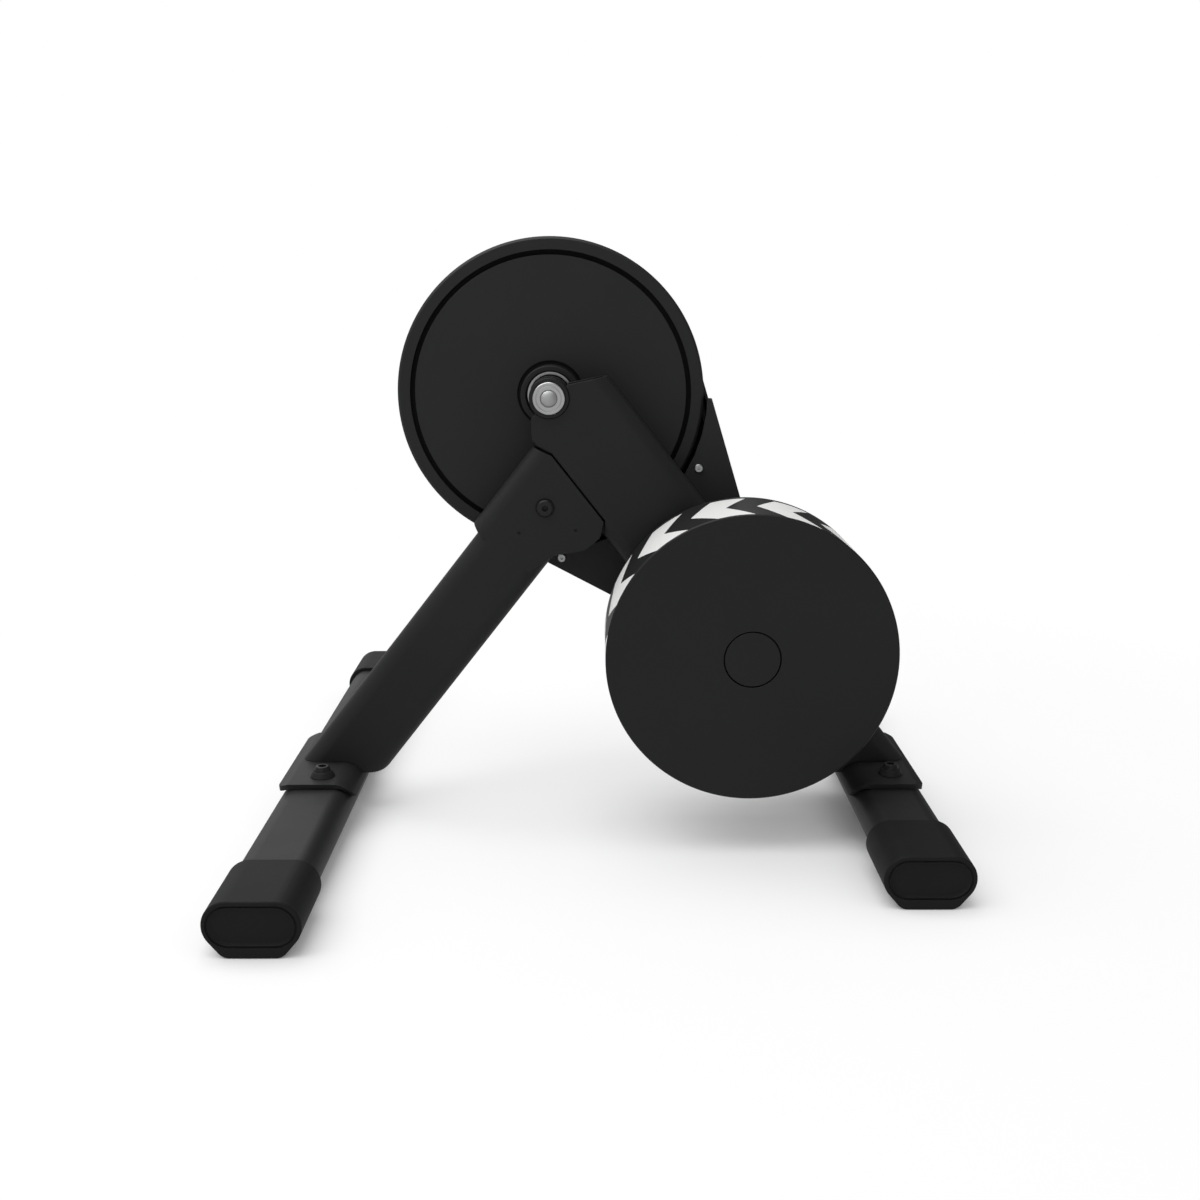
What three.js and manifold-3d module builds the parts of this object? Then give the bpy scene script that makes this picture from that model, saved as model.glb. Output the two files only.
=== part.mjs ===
// A direct drive bike trainer: two flat-oval frame tubes over two foot bars, a belt pulley on the
// bike's axle, and a flywheel with an eddy-current brake that the belt turns.
// Millimetres, +Z up, -X towards the bike's front wheel, -Y the flywheel's side. The origin is on
// the floor, under the middle of the footprint.
import * as THREE from 'three';
import { mergeVertices } from 'three/addons/utils/BufferGeometryUtils.js';
import Module from 'manifold-3d';

const wasm = await Module();
wasm.setup();

// Driving dimensions
const frontFootLength = 584;
const rearFootLength = 451;
const barSpacing = 423.9;
const axleHeight = 315.8;
const axleLead = 38.9;
const axleDrop = 6;
const centreDistance = 223.5;

// Fits
const gap = 0.3;
const overrun = 10;
const weldTolerance = 1e-4;

// Steps of the round shapes
const discSteps = 48;
const roundSteps = 20;
const washerSteps = 16;
const capSteps = 32;
const smallSteps = 12;
const hexSides = 6;
const cornerSteps = 4;
const ovalSteps = 12;
const saddleSteps = 6;
const quarterTurn = Math.PI / 2;

// Foot bars and their end caps
const barWidth = 53.4;
const barHeight = 27;
const barWall = 2.5;
const capWidth = 60.9;
const capHeight = 37.1;
const capRound = 32.8;
const capLength = 63.9;
const capEndWall = 7;
const capUnderAngle = 0.7;
const capGrooveInset = 2.7;
const capGrooveWidth = 1.9;
const capGrooveDepth = 1.8;
const capPanelDrop = 0.7;
const barMid = capHeight - capRound / 2;

// Saddle plates
const saddleThickness = 3.7;
const saddleLength = 122;
const saddleFlat = 19.5;
const frontLip = 8.2;
const rearLip = 5.6;
const saddleLipAngle = 0.32;
const saddleWrapAngle = 0.36;
const saddleCornerCut = 9;
const saddleCornerRadius = 7;
const saddleTop = barMid + barHeight / 2 + gap + saddleThickness;

// Frame tubes
const frameY = -34;
const frameThickness = 24;
const frameWall = 3;
const beamWidth = 74.7;
const beamInset = 26.2;
const legWidth = 55.2;
const legInset = 15.8;
const legHeadFlare = 6.8;
const toeHeight = 29.8;
const toeRadius = 14;
const mitreGap = 1.3;
const mitreDepth = 8;
const dimpleRadius = 1.3;
const dimpleDepth = 1;

// Outlines of the beam's end and the leg's head, in shares of the beam's width: along the beam from
// the axle, and across it from its centre line
const beamEndShares = [[0.187, 0.5], [0.013, 0.149], [0.052, -0.344], [0.248, -0.494]];
const mitreStartShare = 0.442;
const mitreEndShare = 1.283;
const mitreStepShare = 0.135;
const headTipShares = [[0.063, -0.6225], [0.457, -0.4084]];
const headToeShares = [[1.283, -0.4084], [1.39, -0.538], [1.396, -0.73]];
const headCornerRadius = 2.5;
// The head's foot in the leg's own frame, in shares of the leg's width
const headFootShares = [[0.43, 0.5], [0.82, 0.36], [0.824, -0.507], [0.777, -0.627], [0.777, -0.86]];
const dimpleShares = [[0.481, -0.072], [-0.012, 0.509]];

// Leg bolt, nut and bracket plate
const legBoltShares = [0.818, -0.7778];
const legBoltRadius = 4;
const legBoltHead = 6.6;
const legBoltHeadHeight = 3.6;
const legBoltSocket = 2.4;
const legBoltSocketDepth = 2.2;
const legNutRadius = 6.8;
const legNutHeight = 5;
const bracketThickness = 6;
const bracketRadius = 7;
const bracketShares = [[0.48, 0.12], [1.3, 0.12], [1.3, -0.68], [0.92, -1.02], [0.52, -0.86], [0.44, -0.45]];

// Saddle bolts on conical washers, and their threaded inserts
const frontBoltReach = 42.5;
const frontBoltShift = 3;
const rearBoltReach = 38.2;
const rearBoltShift = 3.9;
const washerBase = 9.2;
const washerTop = 7;
const washerHeight = 4.3;
const washerSink = 1;
const saddleBoltRadius = 3.2;
const saddleBoltHead = 6.1;
const saddleBoltCrown = 4.1;
const saddleBoltHeadHeight = 3.6;
const saddleBoltSocket = 2.4;
const saddleBoltSocketDepth = 2;
const saddleBoltLength = 22;
const insertRadius = 5.4;
const insertFlange = 7.5;
const insertFlangeHeight = 1.5;
const insertLength = 10;

// Axle on the bike's dropout spacing
const axleLeftFace = -50;
const dropoutSpacing = 130;
const axleRadius = 8.5;
const axleBore = 6;
const axleEndRadius = 11.7;
const axleEndLength = 13.7;
const axleEndChamfer = 0.8;
const axleEndGroove = 9.7;
const axleEndGrooveWidth = 1.1;
const axleEndGrooveDepth = 0.8;
const axleDome = 6;
const axleDomeHeight = 1;
const axlePlugLength = 10;
const rightEndRadius = 10.5;
const collarRadius = 14.6;
const collarInset = 2.5;
const lockRingRadius = 17.9;

// Drive pulley
const pulleyFaceY = -6.3;
const pulleyRim = 115.2;
const pulleyFlange = 5;
const pulleyChamfer = 1.9;
const grooveOuter = 107;
const grooveInner = 101.5;
const grooveDepth = 4;
const webThickness = 7;
const crownRadius = 106;
const crownWall = 5;
const beltWidth = 15;
const beltThickness = 3;
const beltGap = 0.5;
const beltSideClearance = 1.2;
const hubRadius = 24;
const hubStep = 1.5;
const hubFrontReach = 13.7;
const hubRearReach = 22;
const ratchetRadius = 21;
const ratchetLength = 4;
const bearingRadius = 16;
const bearingWidth = 9.5;
const bearingShoulder = 13;

// Freehub body
const freehubFlange = 20;
const freehubFlangeLength = 3;
const freehubRadius = 17.4;
const freehubRoot = 15.9;
const freehubLength = 36;
const freehubSplines = 9;
const splineShare = 0.62;

// Belt cover
const coverRadius = 115;
const coverSmallRadius = 29.3;
const shellInset = 2.1;
const coverWall = 2.2;
const coverDepth = 22;
const innerPlateY = -9;
const innerPlateThickness = 3;
const innerPlateEdge = 118.2;
const innerPlateHalfAngle = 0.852;
const coverHubHole = 30;
const coverHubRing = 38;
const coverHubRingHeight = 3;
const coverBossRadius = 4.8;
const coverBossHole = 1.9;
const plateScrewReach = 125.1;
const plateScrewAngles = [-1.509, -0.4607];
const screwHead = 3.2;
const screwHeadHeight = 1.6;
const screwShank = 1.6;
const screwLength = 12;
const screwSlot = 1.3;
const screwSlotDepth = 0.8;
const standoffReach = 152;
const standoffSpread = 15;
const standoffRadius = 6;

// Idler
const idlerBack = 45;
const idlerAcross = -28;
const idlerRadius = 9;
const idlerPinRadius = 4;
const idlerPinHead = 7;
const idlerPinHeadHeight = 3;

// Flywheel
const flywheelRadius = 101.8;
const flywheelFaceY = -134;
const flywheelDepth = 77;
const flywheelRim = 12;
const flywheelWeb = 8;
const flywheelChamfer = 0.9;
const flywheelHub = 24;
const flywheelHubDepth = 16;
const hubCapRadius = 19.6;
const hubCapThickness = 2.5;
const hubCapChamfer = 0.4;
const hubRecessDepth = 7;
const shaftRadius = 8.5;
const shaftCollar = 14;
const shaftCollarLength = 3;
const shaftNutRadius = 13;
const shaftNutHeight = 3.9;
const smallPulleyRadius = 13;
const smallFlangeHeight = 5.4;
const smallFlangeThickness = 1.2;

// Bearing housing of the flywheel shaft, and the eddy-current brake round it
const housingRadius = 22;
const housingFront = 64;
const housingRear = 7.7;
const housingFlange = 34;
const housingFlangeThickness = 5.7;
const coreHub = 34;
const coreRadius = 86;
const coreFlange = 6;
const coreTeeth = 12;
const coreToothDepth = 9;
const coreToothShare = 0.6;
const coreSpan = 44;
const coilRadius = 76;

// Speed sensor, and the electronics behind the beam
const sensorLength = 12;
const sensorWidth = 16;
const sensorGap = 1.2;
const electronicsBack = 36;
const electronicsLength = 78;
const electronicsWidth = 56;
const electronicsDepth = 25;
const electronicsWall = 2.4;
const electronicsRadius = 8;
const boardMargin = 6;
const boardThickness = 1.6;
const boardSetback = 9;
const boardPost = 3;
const inletRadius = 6.5;
const inletBore = 4.2;
const inletPin = 1.2;
const inletDepth = 9;
const inletProud = 2;
const lensRadius = 2.5;
const lensProud = 0.6;

// Finishes
function finish(color, roughness, metalness) {
  return () => new THREE.MeshStandardMaterial({ color, roughness, metalness });
}
const frameBlack = finish(0x1d1e20, 0.55, 0.25);
const mouldedBlack = finish(0x1a1a1b, 0.7, 0);
const rubberBlack = finish(0x202021, 0.85, 0);
const wheelBlack = finish(0x1b1c1e, 0.5, 0.3);
const boltBlack = finish(0x2a2b2d, 0.4, 0.7);
const silver = finish(0xb9bbbe, 0.3, 0.95);
const steel = finish(0x8d9094, 0.4, 0.9);
const copper = finish(0xa5623a, 0.45, 0.8);
const boardGreen = finish(0x21553a, 0.6, 0.1);
const lensClear = finish(0x9fc4e8, 0.2, 0);
const beltBlack = finish(0x18181a, 0.8, 0);

const trainer = new THREE.Group();

// Adds one solid as a named mesh.
function piece(name, body, material) {
  const mesh = new THREE.Mesh(geometryOf(body), material());
  mesh.name = name;
  trainer.add(mesh);
}

// A closed geometry with its shared corners merged and its flat triangles dropped, as a solid.
function solid(geometry) {
  geometry.deleteAttribute('normal');
  geometry.deleteAttribute('uv');
  const merged = mergeVertices(geometry, weldTolerance);
  const corners = merged.index.array;
  const kept = [];
  for (let i = 0; i < corners.length; i += 3) {
    const [a, b, c] = [corners[i], corners[i + 1], corners[i + 2]];
    if (a !== b && b !== c && c !== a) {
      kept.push(a, b, c);
    }
  }
  const vertProperties = new Float32Array(merged.getAttribute('position').array);
  return new wasm.Manifold(new wasm.Mesh({ numProp: 3, vertProperties, triVerts: new Uint32Array(kept) }));
}

function geometryOf(body) {
  const mesh = body.getMesh();
  const geometry = new THREE.BufferGeometry();
  geometry.setAttribute('position', new THREE.BufferAttribute(mesh.vertProperties, 3));
  geometry.setIndex(new THREE.BufferAttribute(mesh.triVerts, 1));
  geometry.computeVertexNormals();
  return geometry;
}

// A line in the XZ plane with a place, a direction and the normal to its left.
function line(x, z, angle) {
  const dx = Math.cos(angle);
  const dz = Math.sin(angle);
  return { x, z, dx, dz, wx: -dz, wz: dx };
}

// The point that lies along and across a line, as [x, z].
function at(on, along, across) {
  return [on.x + along * on.dx + across * on.wx, on.z + along * on.dz + across * on.wz];
}

function shapeOf(points) {
  return new THREE.Shape(points.map(([x, z]) => new THREE.Vector2(x, z)));
}

function arc(x, z, radius, from, to, steps = cornerSteps) {
  const points = [];
  for (let i = 0; i <= steps; i += 1) {
    const angle = from + ((to - from) * i) / steps;
    points.push([x + radius * Math.cos(angle), z + radius * Math.sin(angle)]);
  }
  return points;
}

// A closed outline whose corners are [x, z, radius], each rounded by an arc.
function rounded(corners) {
  const points = [];
  corners.forEach(([x, z, radius = 0], i) => {
    const [ax, az] = corners[(i + corners.length - 1) % corners.length];
    const [bx, bz] = corners[(i + 1) % corners.length];
    const a = new THREE.Vector2(ax - x, az - z).normalize();
    const b = new THREE.Vector2(bx - x, bz - z).normalize();
    const half = Math.acos(THREE.MathUtils.clamp(a.dot(b), -1, 1)) / 2;
    if (radius === 0) {
      points.push([x, z]);
      return;
    }
    const toCentre = a.clone().add(b).normalize().multiplyScalar(radius / Math.sin(half));
    const start = a.clone().multiplyScalar(radius / Math.tan(half)).sub(toCentre);
    const sweep = (Math.PI - 2 * half) * Math.sign(a.cross(b)) * -1;
    const from = start.angle();
    points.push(...arc(x + toCentre.x, z + toCentre.y, radius, from, from + sweep));
  });
  return shapeOf(points);
}

function flatOval(width, height, x = 0, z = 0) {
  const radius = height / 2;
  const reach = width / 2 - radius;
  return shapeOf([
    ...arc(x + reach, z, radius, -quarterTurn, quarterTurn, ovalSteps),
    ...arc(x - reach, z, radius, quarterTurn, 3 * quarterTurn, ovalSteps),
  ]);
}

// A shape drawn in X and Z, carried along Y.
function slab(shape, yFrom, yTo) {
  const geometry = new THREE.ExtrudeGeometry(shape, { depth: yTo - yFrom, bevelEnabled: false });
  geometry.rotateX(quarterTurn);
  geometry.translate(0, yTo, 0);
  return solid(geometry);
}

// A shape drawn in X and Y, carried along Z.
function tower(shape, zFrom, zTo) {
  const geometry = new THREE.ExtrudeGeometry(shape, { depth: zTo - zFrom, bevelEnabled: false });
  geometry.translate(0, 0, zFrom);
  return solid(geometry);
}

// A shape drawn in Y and Z, carried along X.
function rail(shape, xFrom, xTo) {
  const geometry = new THREE.ExtrudeGeometry(shape, { depth: xTo - xFrom, bevelEnabled: false });
  geometry.translate(0, 0, xFrom);
  const turn = new THREE.Matrix4().makeBasis(
    new THREE.Vector3(0, 1, 0),
    new THREE.Vector3(0, 0, 1),
    new THREE.Vector3(1, 0, 0),
  );
  return solid(geometry.applyMatrix4(turn));
}

// A flat-oval bar along a line of the XZ plane, its width across the line and its thickness along Y.
function ovalBar(on, from, to, width, thickness, shift = 0) {
  const shape = flatOval(width, thickness, shift, 0);
  const geometry = new THREE.ExtrudeGeometry(shape, { depth: to - from, bevelEnabled: false });
  geometry.translate(0, 0, from);
  const turn = new THREE.Matrix4().makeBasis(
    new THREE.Vector3(on.wx, 0, on.wz),
    new THREE.Vector3(0, -1, 0),
    new THREE.Vector3(on.dx, 0, on.dz),
  );
  turn.setPosition(on.x, frameY, on.z);
  return solid(geometry.applyMatrix4(turn));
}

// A profile of [radius, height] points, which runs with its solid on the left, spun about an axis
// along Y.
function turned(profile, steps, centre) {
  const points = profile.map(([radius, y]) => new THREE.Vector2(radius, y));
  if (points[0].x > 0 || points[points.length - 1].x > 0) {
    points.push(points[0].clone());
  }
  const geometry = new THREE.LatheGeometry(points, steps);
  geometry.translate(centre.x, 0, centre.z);
  return solid(geometry);
}

// The same, spun about an axis along Z.
function turnedUp(profile, steps, x, y) {
  const points = profile.map(([radius, z]) => new THREE.Vector2(radius, -z)).reverse();
  if (points[0].x > 0 || points[points.length - 1].x > 0) {
    points.push(points[0].clone());
  }
  const geometry = new THREE.LatheGeometry(points, steps);
  geometry.rotateX(-quarterTurn);
  geometry.translate(x, y, 0);
  return solid(geometry);
}

// A round rod or hole along Y.
function rod(radius, yFrom, yTo, centre, steps = smallSteps) {
  return turned([[0, yFrom], [radius, yFrom], [radius, yTo], [0, yTo]], steps, centre);
}

function tube(inner, outer, yFrom, yTo, centre, steps = smallSteps) {
  return turned([[inner, yFrom], [outer, yFrom], [outer, yTo], [inner, yTo]], steps, centre);
}

// The frame's own places
const axle = { x: -axleLead, z: axleHeight };
const frontBarX = -barSpacing / 2;
const rearBarX = barSpacing / 2;
const frameNear = frameY - frameThickness / 2;
const frameFar = frameY + frameThickness / 2;

function beamLineFromAxle() {
  const reachX = rearBarX - beamInset - axle.x;
  const reachZ = saddleTop - axle.z;
  const angle = Math.atan2(reachZ, reachX) - Math.asin(axleDrop / Math.hypot(reachX, reachZ));
  const through = line(axle.x, axle.z, angle);
  const [x, z] = at(through, 0, axleDrop);
  return { ...line(x, z, angle), length: Math.hypot(reachX, reachZ) };
}
const beamLine = beamLineFromAxle();
const shaftAlong = Math.sqrt(centreDistance ** 2 - axleDrop ** 2);
const [shaftX, shaftZ] = at(beamLine, shaftAlong, 0);
const shaft = { x: shaftX, z: shaftZ };

function legLineFromBolt() {
  const [along, across] = legBoltShares.map((share) => share * beamWidth);
  const [x, z] = at(beamLine, along, across);
  const reachX = frontBarX + legInset - x;
  const reachZ = saddleTop - z;
  return { ...line(x, z, Math.atan2(reachZ, reachX)), length: Math.hypot(reachX, reachZ) };
}
const legLine = legLineFromBolt();
const legBolt = { x: legLine.x, z: legLine.z };

// Foot bars
function footBar(name, x, length, bolts) {
  const half = length / 2 - capEndWall - gap;
  const outer = slab(flatOval(barWidth, barHeight, x, barMid), -half, half);
  const width = barWidth - 2 * barWall;
  const hollow = slab(flatOval(width, barHeight - 2 * barWall, x, barMid), -half - overrun, half + overrun);
  let bar = outer.subtract(hollow);
  for (const [boltX, y] of bolts) {
    bar = bar.subtract(upHole(boltX, y, barMid, barMid + barHeight));
  }
  piece(name, bar, frameBlack);
}

// The two places of a saddle's bolts, as [x, y].
function saddleBolts(barX, shift, reach) {
  return [[barX + shift, frameY - reach], [barX + shift, frameY + reach]];
}

// A hole for a saddle bolt.
function upHole(x, y, zFrom, zTo) {
  const radius = saddleBoltRadius + gap;
  const profile = [[0, zFrom], [radius, zFrom], [radius, zTo], [0, zTo]];
  return turnedUp(profile, washerSteps, x, y);
}

// A cap's outline: a flat oval whose lower corners run on in straight flanks to a flat pad.
function capOutline(x) {
  const radius = capRound / 2;
  const reach = capWidth / 2 - radius;
  const flankTop = barMid - radius * Math.sin(capUnderAngle);
  const pad = reach + radius * Math.cos(capUnderAngle) - flankTop * Math.tan(capUnderAngle);
  const steps = (3 * cornerSteps) / 2;
  return shapeOf([
    ...arc(x + reach, barMid, radius, -capUnderAngle, quarterTurn, steps),
    ...arc(x - reach, barMid, radius, quarterTurn, 2 * quarterTurn + capUnderAngle, steps),
    [x - pad, 0],
    [x + pad, 0],
  ]);
}

// An end cap: side is -1 on the flywheel's side and 1 on the other.
function footCap(name, x, length, side) {
  const face = (side * length) / 2;
  const root = face - side * capLength;
  const body = spanY(capOutline(x), face, root);
  const socket = spanY(
    flatOval(barWidth + 2 * gap, barHeight + 2 * gap, x, barMid),
    face - side * capEndWall,
    root - side * overrun,
  );
  const grooveInset = 2 * capGrooveInset;
  const panelInset = grooveInset + 2 * capGrooveWidth;
  const grooveOval = flatOval(capWidth - grooveInset, capRound - grooveInset, x, barMid);
  const panelOval = flatOval(capWidth - panelInset, capRound - panelInset, x, barMid);
  const outside = face + side * overrun;
  const grooveCut = spanY(grooveOval, outside, face - side * capGrooveDepth);
  const panel = spanY(panelOval, face - side * capPanelDrop, face - side * (capGrooveDepth + capPanelDrop));
  piece(name, body.subtract(socket).subtract(grooveCut).add(panel), rubberBlack);
}

// A slab between two places along Y, whichever comes first.
function spanY(shape, a, b) {
  return slab(shape, Math.min(a, b), Math.max(a, b));
}

// Saddle plates. The section is drawn from the bar's centre, with u towards the frame's inside.
function saddleSection(barX, inward, lip) {
  const reach = barWidth / 2 - barHeight / 2;
  const inner = barHeight / 2 + gap;
  const outer = inner + saddleThickness;
  const lipX = lip * Math.cos(saddleLipAngle);
  const lipZ = lip * Math.sin(saddleLipAngle);
  const shiftX = saddleThickness * Math.sin(saddleLipAngle);
  const shiftZ = saddleThickness * Math.cos(saddleLipAngle);
  const points = [
    ...arc(reach, barMid, outer, saddleWrapAngle, quarterTurn, saddleSteps),
    [-saddleFlat, saddleTop],
    [-saddleFlat - lipX, saddleTop - lipZ],
    [-saddleFlat - lipX + shiftX, saddleTop - lipZ - shiftZ],
    [-saddleFlat + shiftX / 2, saddleTop - saddleThickness],
    ...arc(reach, barMid, inner, quarterTurn, saddleWrapAngle, saddleSteps),
  ];
  return shapeOf(points.map(([u, z]) => [barX + inward * u, z]));
}

function saddlePlate(name, barX, inward, lip, bolts) {
  const yFrom = frameY - saddleLength / 2;
  const yTo = frameY + saddleLength / 2;
  let plate = slab(saddleSection(barX, inward, lip), yFrom, yTo);
  const outside = barX - inward * barWidth;
  const inside = barX + inward * barWidth;
  const left = Math.min(outside, inside);
  const right = Math.max(outside, inside);
  const outerEdge = barX - inward * (saddleFlat + lip * Math.cos(saddleLipAngle));
  const plan = rounded([
    [outerEdge, yFrom, saddleCornerRadius],
    [inside, yFrom],
    [inside, yTo],
    [outerEdge, yTo, saddleCornerRadius],
  ]);
  plate = plate.intersect(tower(plan, 0, saddleTop + overrun));
  const wrapEnd = barMid + (barHeight / 2 + gap) * Math.sin(saddleWrapAngle);
  for (const [end, way] of [[yFrom, 1], [yTo, -1]]) {
    const corner = shapeOf([
      [end - way * overrun, wrapEnd + saddleCornerCut + overrun],
      [end - way * overrun, wrapEnd - overrun],
      [end + way * (saddleCornerCut + overrun), wrapEnd - overrun],
    ]);
    const from = inward > 0 ? barX : left;
    const to = inward > 0 ? right : barX;
    plate = plate.subtract(rail(corner, from, to));
  }
  for (const [x, y] of bolts) {
    plate = plate.subtract(upHole(x, y, barMid, saddleTop + overrun));
  }
  piece(name, plate, frameBlack);
}

// The space under a saddle's upper surface, which the frame tubes are cut back to.
function saddleSpace(barX, inward) {
  const reach = barWidth / 2 - barHeight / 2;
  const radius = barHeight / 2 + gap + saddleThickness + gap;
  const points = [
    ...arc(reach, barMid, radius, saddleWrapAngle, quarterTurn, saddleSteps),
    [-barWidth, saddleTop + gap],
    [-barWidth, -overrun],
    [reach + radius * Math.cos(saddleWrapAngle), -overrun],
  ];
  const shape = shapeOf(points.map(([u, z]) => [barX + inward * u, z]));
  return slab(shape, frameNear - overrun, frameFar + overrun);
}

function saddleFixings(end, bolts) {
  const sides = ['left', 'right'];
  bolts.forEach(([x, y], i) => {
    const side = sides[i];
    const seat = saddleTop + gap;
    const top = seat + washerHeight;
    const hole = saddleBoltRadius + gap;
    const sink = saddleBoltHead + gap;
    const floor = top - washerSink;
    const washer = turnedUp(
      [[hole, seat], [washerBase, seat], [washerTop, top], [sink, top], [sink, floor], [hole, floor]],
      washerSteps, x, y,
    );
    piece(`${end}_${side}_washer`, washer, frameBlack);
    const headFrom = floor + gap;
    const headTo = headFrom + saddleBoltHeadHeight;
    const head = turnedUp(
      [[0, headTo - saddleBoltLength], [saddleBoltRadius, headTo - saddleBoltLength],
        [saddleBoltRadius, headFrom], [saddleBoltHead, headFrom], [saddleBoltHead, top + gap],
        [saddleBoltCrown, headTo], [0, headTo]],
      washerSteps, x, y,
    );
    const floorOfSocket = headTo - saddleBoltSocketDepth;
    const socket = turnedUp(
      [[0, floorOfSocket], [saddleBoltSocket, floorOfSocket], [saddleBoltSocket, headTo + overrun],
        [0, headTo + overrun]],
      hexSides, x, y,
    );
    piece(`${end}_${side}_saddle_bolt`, head.subtract(socket), boltBlack);
    const ceiling = barMid + barHeight / 2 - barWall - gap;
    const insert = turnedUp(
      [[hole, ceiling - insertLength], [insertRadius, ceiling - insertLength],
        [insertRadius, ceiling - insertFlangeHeight], [insertFlange, ceiling - insertFlangeHeight],
        [insertFlange, ceiling], [hole, ceiling]],
      washerSteps, x, y,
    );
    piece(`${end}_${side}_insert`, insert, steel);
  });
}

// The part of the XZ plane that a frame tube's round toe leaves: above the toe's height, with the
// lower corner of its inner edge rounded. across is that edge's place, with its sign.
function toeOutline(on, from, across, far) {
  const edge = at(on, from, across);
  const slope = (toeHeight - edge[1]) / on.dz;
  const toe = [edge[0] + slope * on.dx, toeHeight, toeRadius];
  const back = at(on, from, far);
  const outward = Math.sign(back[0] - edge[0]);
  return rounded([edge, toe, [toe[0] + outward * (beamWidth + legWidth), toeHeight], back]);
}

// Main beam: a hollow flat-oval tube with a notch round the axle, a step for the leg's head and a
// bore for the bearing housing.
function mainBeam() {
  const to = beamLine.length + beamWidth;
  const half = beamWidth / 2;
  const outer = ovalBar(beamLine, -beamWidth / 2, to, beamWidth, frameThickness);
  const inner = ovalBar(
    beamLine, -beamWidth, to + overrun, beamWidth - 2 * frameWall, frameThickness - 2 * frameWall,
  );
  const end = beamEndShares.map(([s, t]) => at(beamLine, s * beamWidth, t * beamWidth));
  const seat = -half + mitreDepth;
  const outline = shapeOf([
    at(beamLine, to, half + overrun),
    at(beamLine, beamEndShares[0][0] * beamWidth, half + overrun),
    ...end,
    at(beamLine, mitreStartShare * beamWidth, seat),
    at(beamLine, mitreEndShare * beamWidth, seat),
    at(beamLine, (mitreEndShare + mitreStepShare) * beamWidth, -half - gap),
    at(beamLine, (mitreEndShare + mitreStepShare) * beamWidth, -half - overrun),
    at(beamLine, to, -half - overrun),
  ]);
  const span = [frameNear - overrun, frameFar + overrun];
  const toe = slab(toeOutline(beamLine, shaftAlong, -half - gap, half + overrun), ...span);
  const upper = slab(shapeOf([
    at(beamLine, -beamWidth, -beamWidth), at(beamLine, shaftAlong + overrun, -beamWidth),
    at(beamLine, shaftAlong + overrun, beamWidth), at(beamLine, -beamWidth, beamWidth),
  ]), ...span);
  const beam = outer
    .subtract(inner)
    .intersect(slab(outline, ...span))
    .intersect(toe.add(upper))
    .subtract(saddleSpace(rearBarX, -1))
    .subtract(rod(collarRadius + gap, ...span, axle, roundSteps))
    .subtract(rod(housingRadius + gap, ...span, shaft, roundSteps));
  piece('main_beam', beam, frameBlack);
}

// Front leg: a hollow flat-oval tube with a wider head that is mitred against the beam.
function frontLeg() {
  const half = legWidth / 2;
  const to = legLine.length + legWidth;
  const span = [frameNear - overrun, frameFar + overrun];
  const from = half;
  const inner = [legWidth - 2 * frameWall, frameThickness - 2 * frameWall];
  const toe = slab(toeOutline(legLine, from, half + gap, -half - overrun), ...span);
  const shank = ovalBar(legLine, from, to, legWidth, frameThickness).intersect(toe);
  const flare = half + legHeadFlare;
  const headWidth = flare + beamWidth;
  const headBar = ovalBar(
    legLine, -beamWidth, from + legWidth, headWidth, frameThickness, headWidth / 2 - flare,
  );
  const mitre = mitreDepth + mitreGap - beamWidth / 2;
  const tip = headTipShares.map(([s, t]) => at(beamLine, s * beamWidth, t * beamWidth));
  tip[1] = at(beamLine, headTipShares[1][0] * beamWidth, -beamWidth / 2 + mitreDepth - mitreGap);
  const toes = headToeShares.map(([s, t], i) => (i === 0
    ? [...at(beamLine, s * beamWidth, -beamWidth / 2 + mitreDepth - mitreGap), headCornerRadius]
    : [...at(beamLine, s * beamWidth, t * beamWidth), headCornerRadius]));
  const foot = headFootShares.map(([s, t]) => at(legLine, s * legWidth, t * legWidth));
  const head = headBar.intersect(slab(rounded([...tip, ...toes, ...foot]), ...span));
  let leg = shank
    .add(head)
    .subtract(ovalBar(legLine, -mitre - half, to + overrun, ...inner))
    .subtract(saddleSpace(frontBarX, 1))
    .subtract(rod(legBoltRadius + gap, ...span, legBolt));
  for (const [s, t] of dimpleShares) {
    const [x, z] = at(legLine, s * legWidth, t * legWidth);
    leg = leg.subtract(rod(dimpleRadius, frameNear - overrun, frameNear + dimpleDepth, { x, z }));
  }
  piece('front_leg', leg, frameBlack);
}

// The bracket plate behind the beam and the leg's head, with the bolt that holds the leg to it.
function legFixings() {
  const from = frameFar + gap;
  const to = from + bracketThickness;
  const corners = bracketShares.map(([s, t]) => [
    ...at(beamLine, s * beamWidth, t * beamWidth), bracketRadius,
  ]);
  const bracket = slab(rounded(corners), from, to).subtract(
    rod(legBoltRadius + gap, from - overrun, to + overrun, legBolt),
  );
  piece('leg_bracket', bracket, frameBlack);
  const face = frameNear - gap;
  const nutFrom = to + gap;
  const nutTo = nutFrom + legNutHeight;
  const crown = legBoltHead - legBoltHeadHeight / 2;
  const bolt = turned(
    [[0, face - legBoltHeadHeight], [crown, face - legBoltHeadHeight],
      [legBoltHead, face - legBoltHeadHeight / 3], [legBoltHead, face], [legBoltRadius, face],
      [legBoltRadius, nutTo], [0, nutTo]],
    roundSteps, legBolt,
  );
  const socketFloor = face - legBoltHeadHeight + legBoltSocketDepth;
  const socket = rod(legBoltSocket, face - overrun, socketFloor, legBolt, hexSides);
  piece('leg_bolt', bolt.subtract(socket), boltBlack);
  const nut = rod(legNutRadius, nutFrom, nutTo, legBolt, hexSides);
  const hole = rod(legBoltRadius + gap, nutFrom - overrun, nutTo + overrun, legBolt);
  piece('leg_nut', nut.subtract(hole), steel);
}

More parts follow.
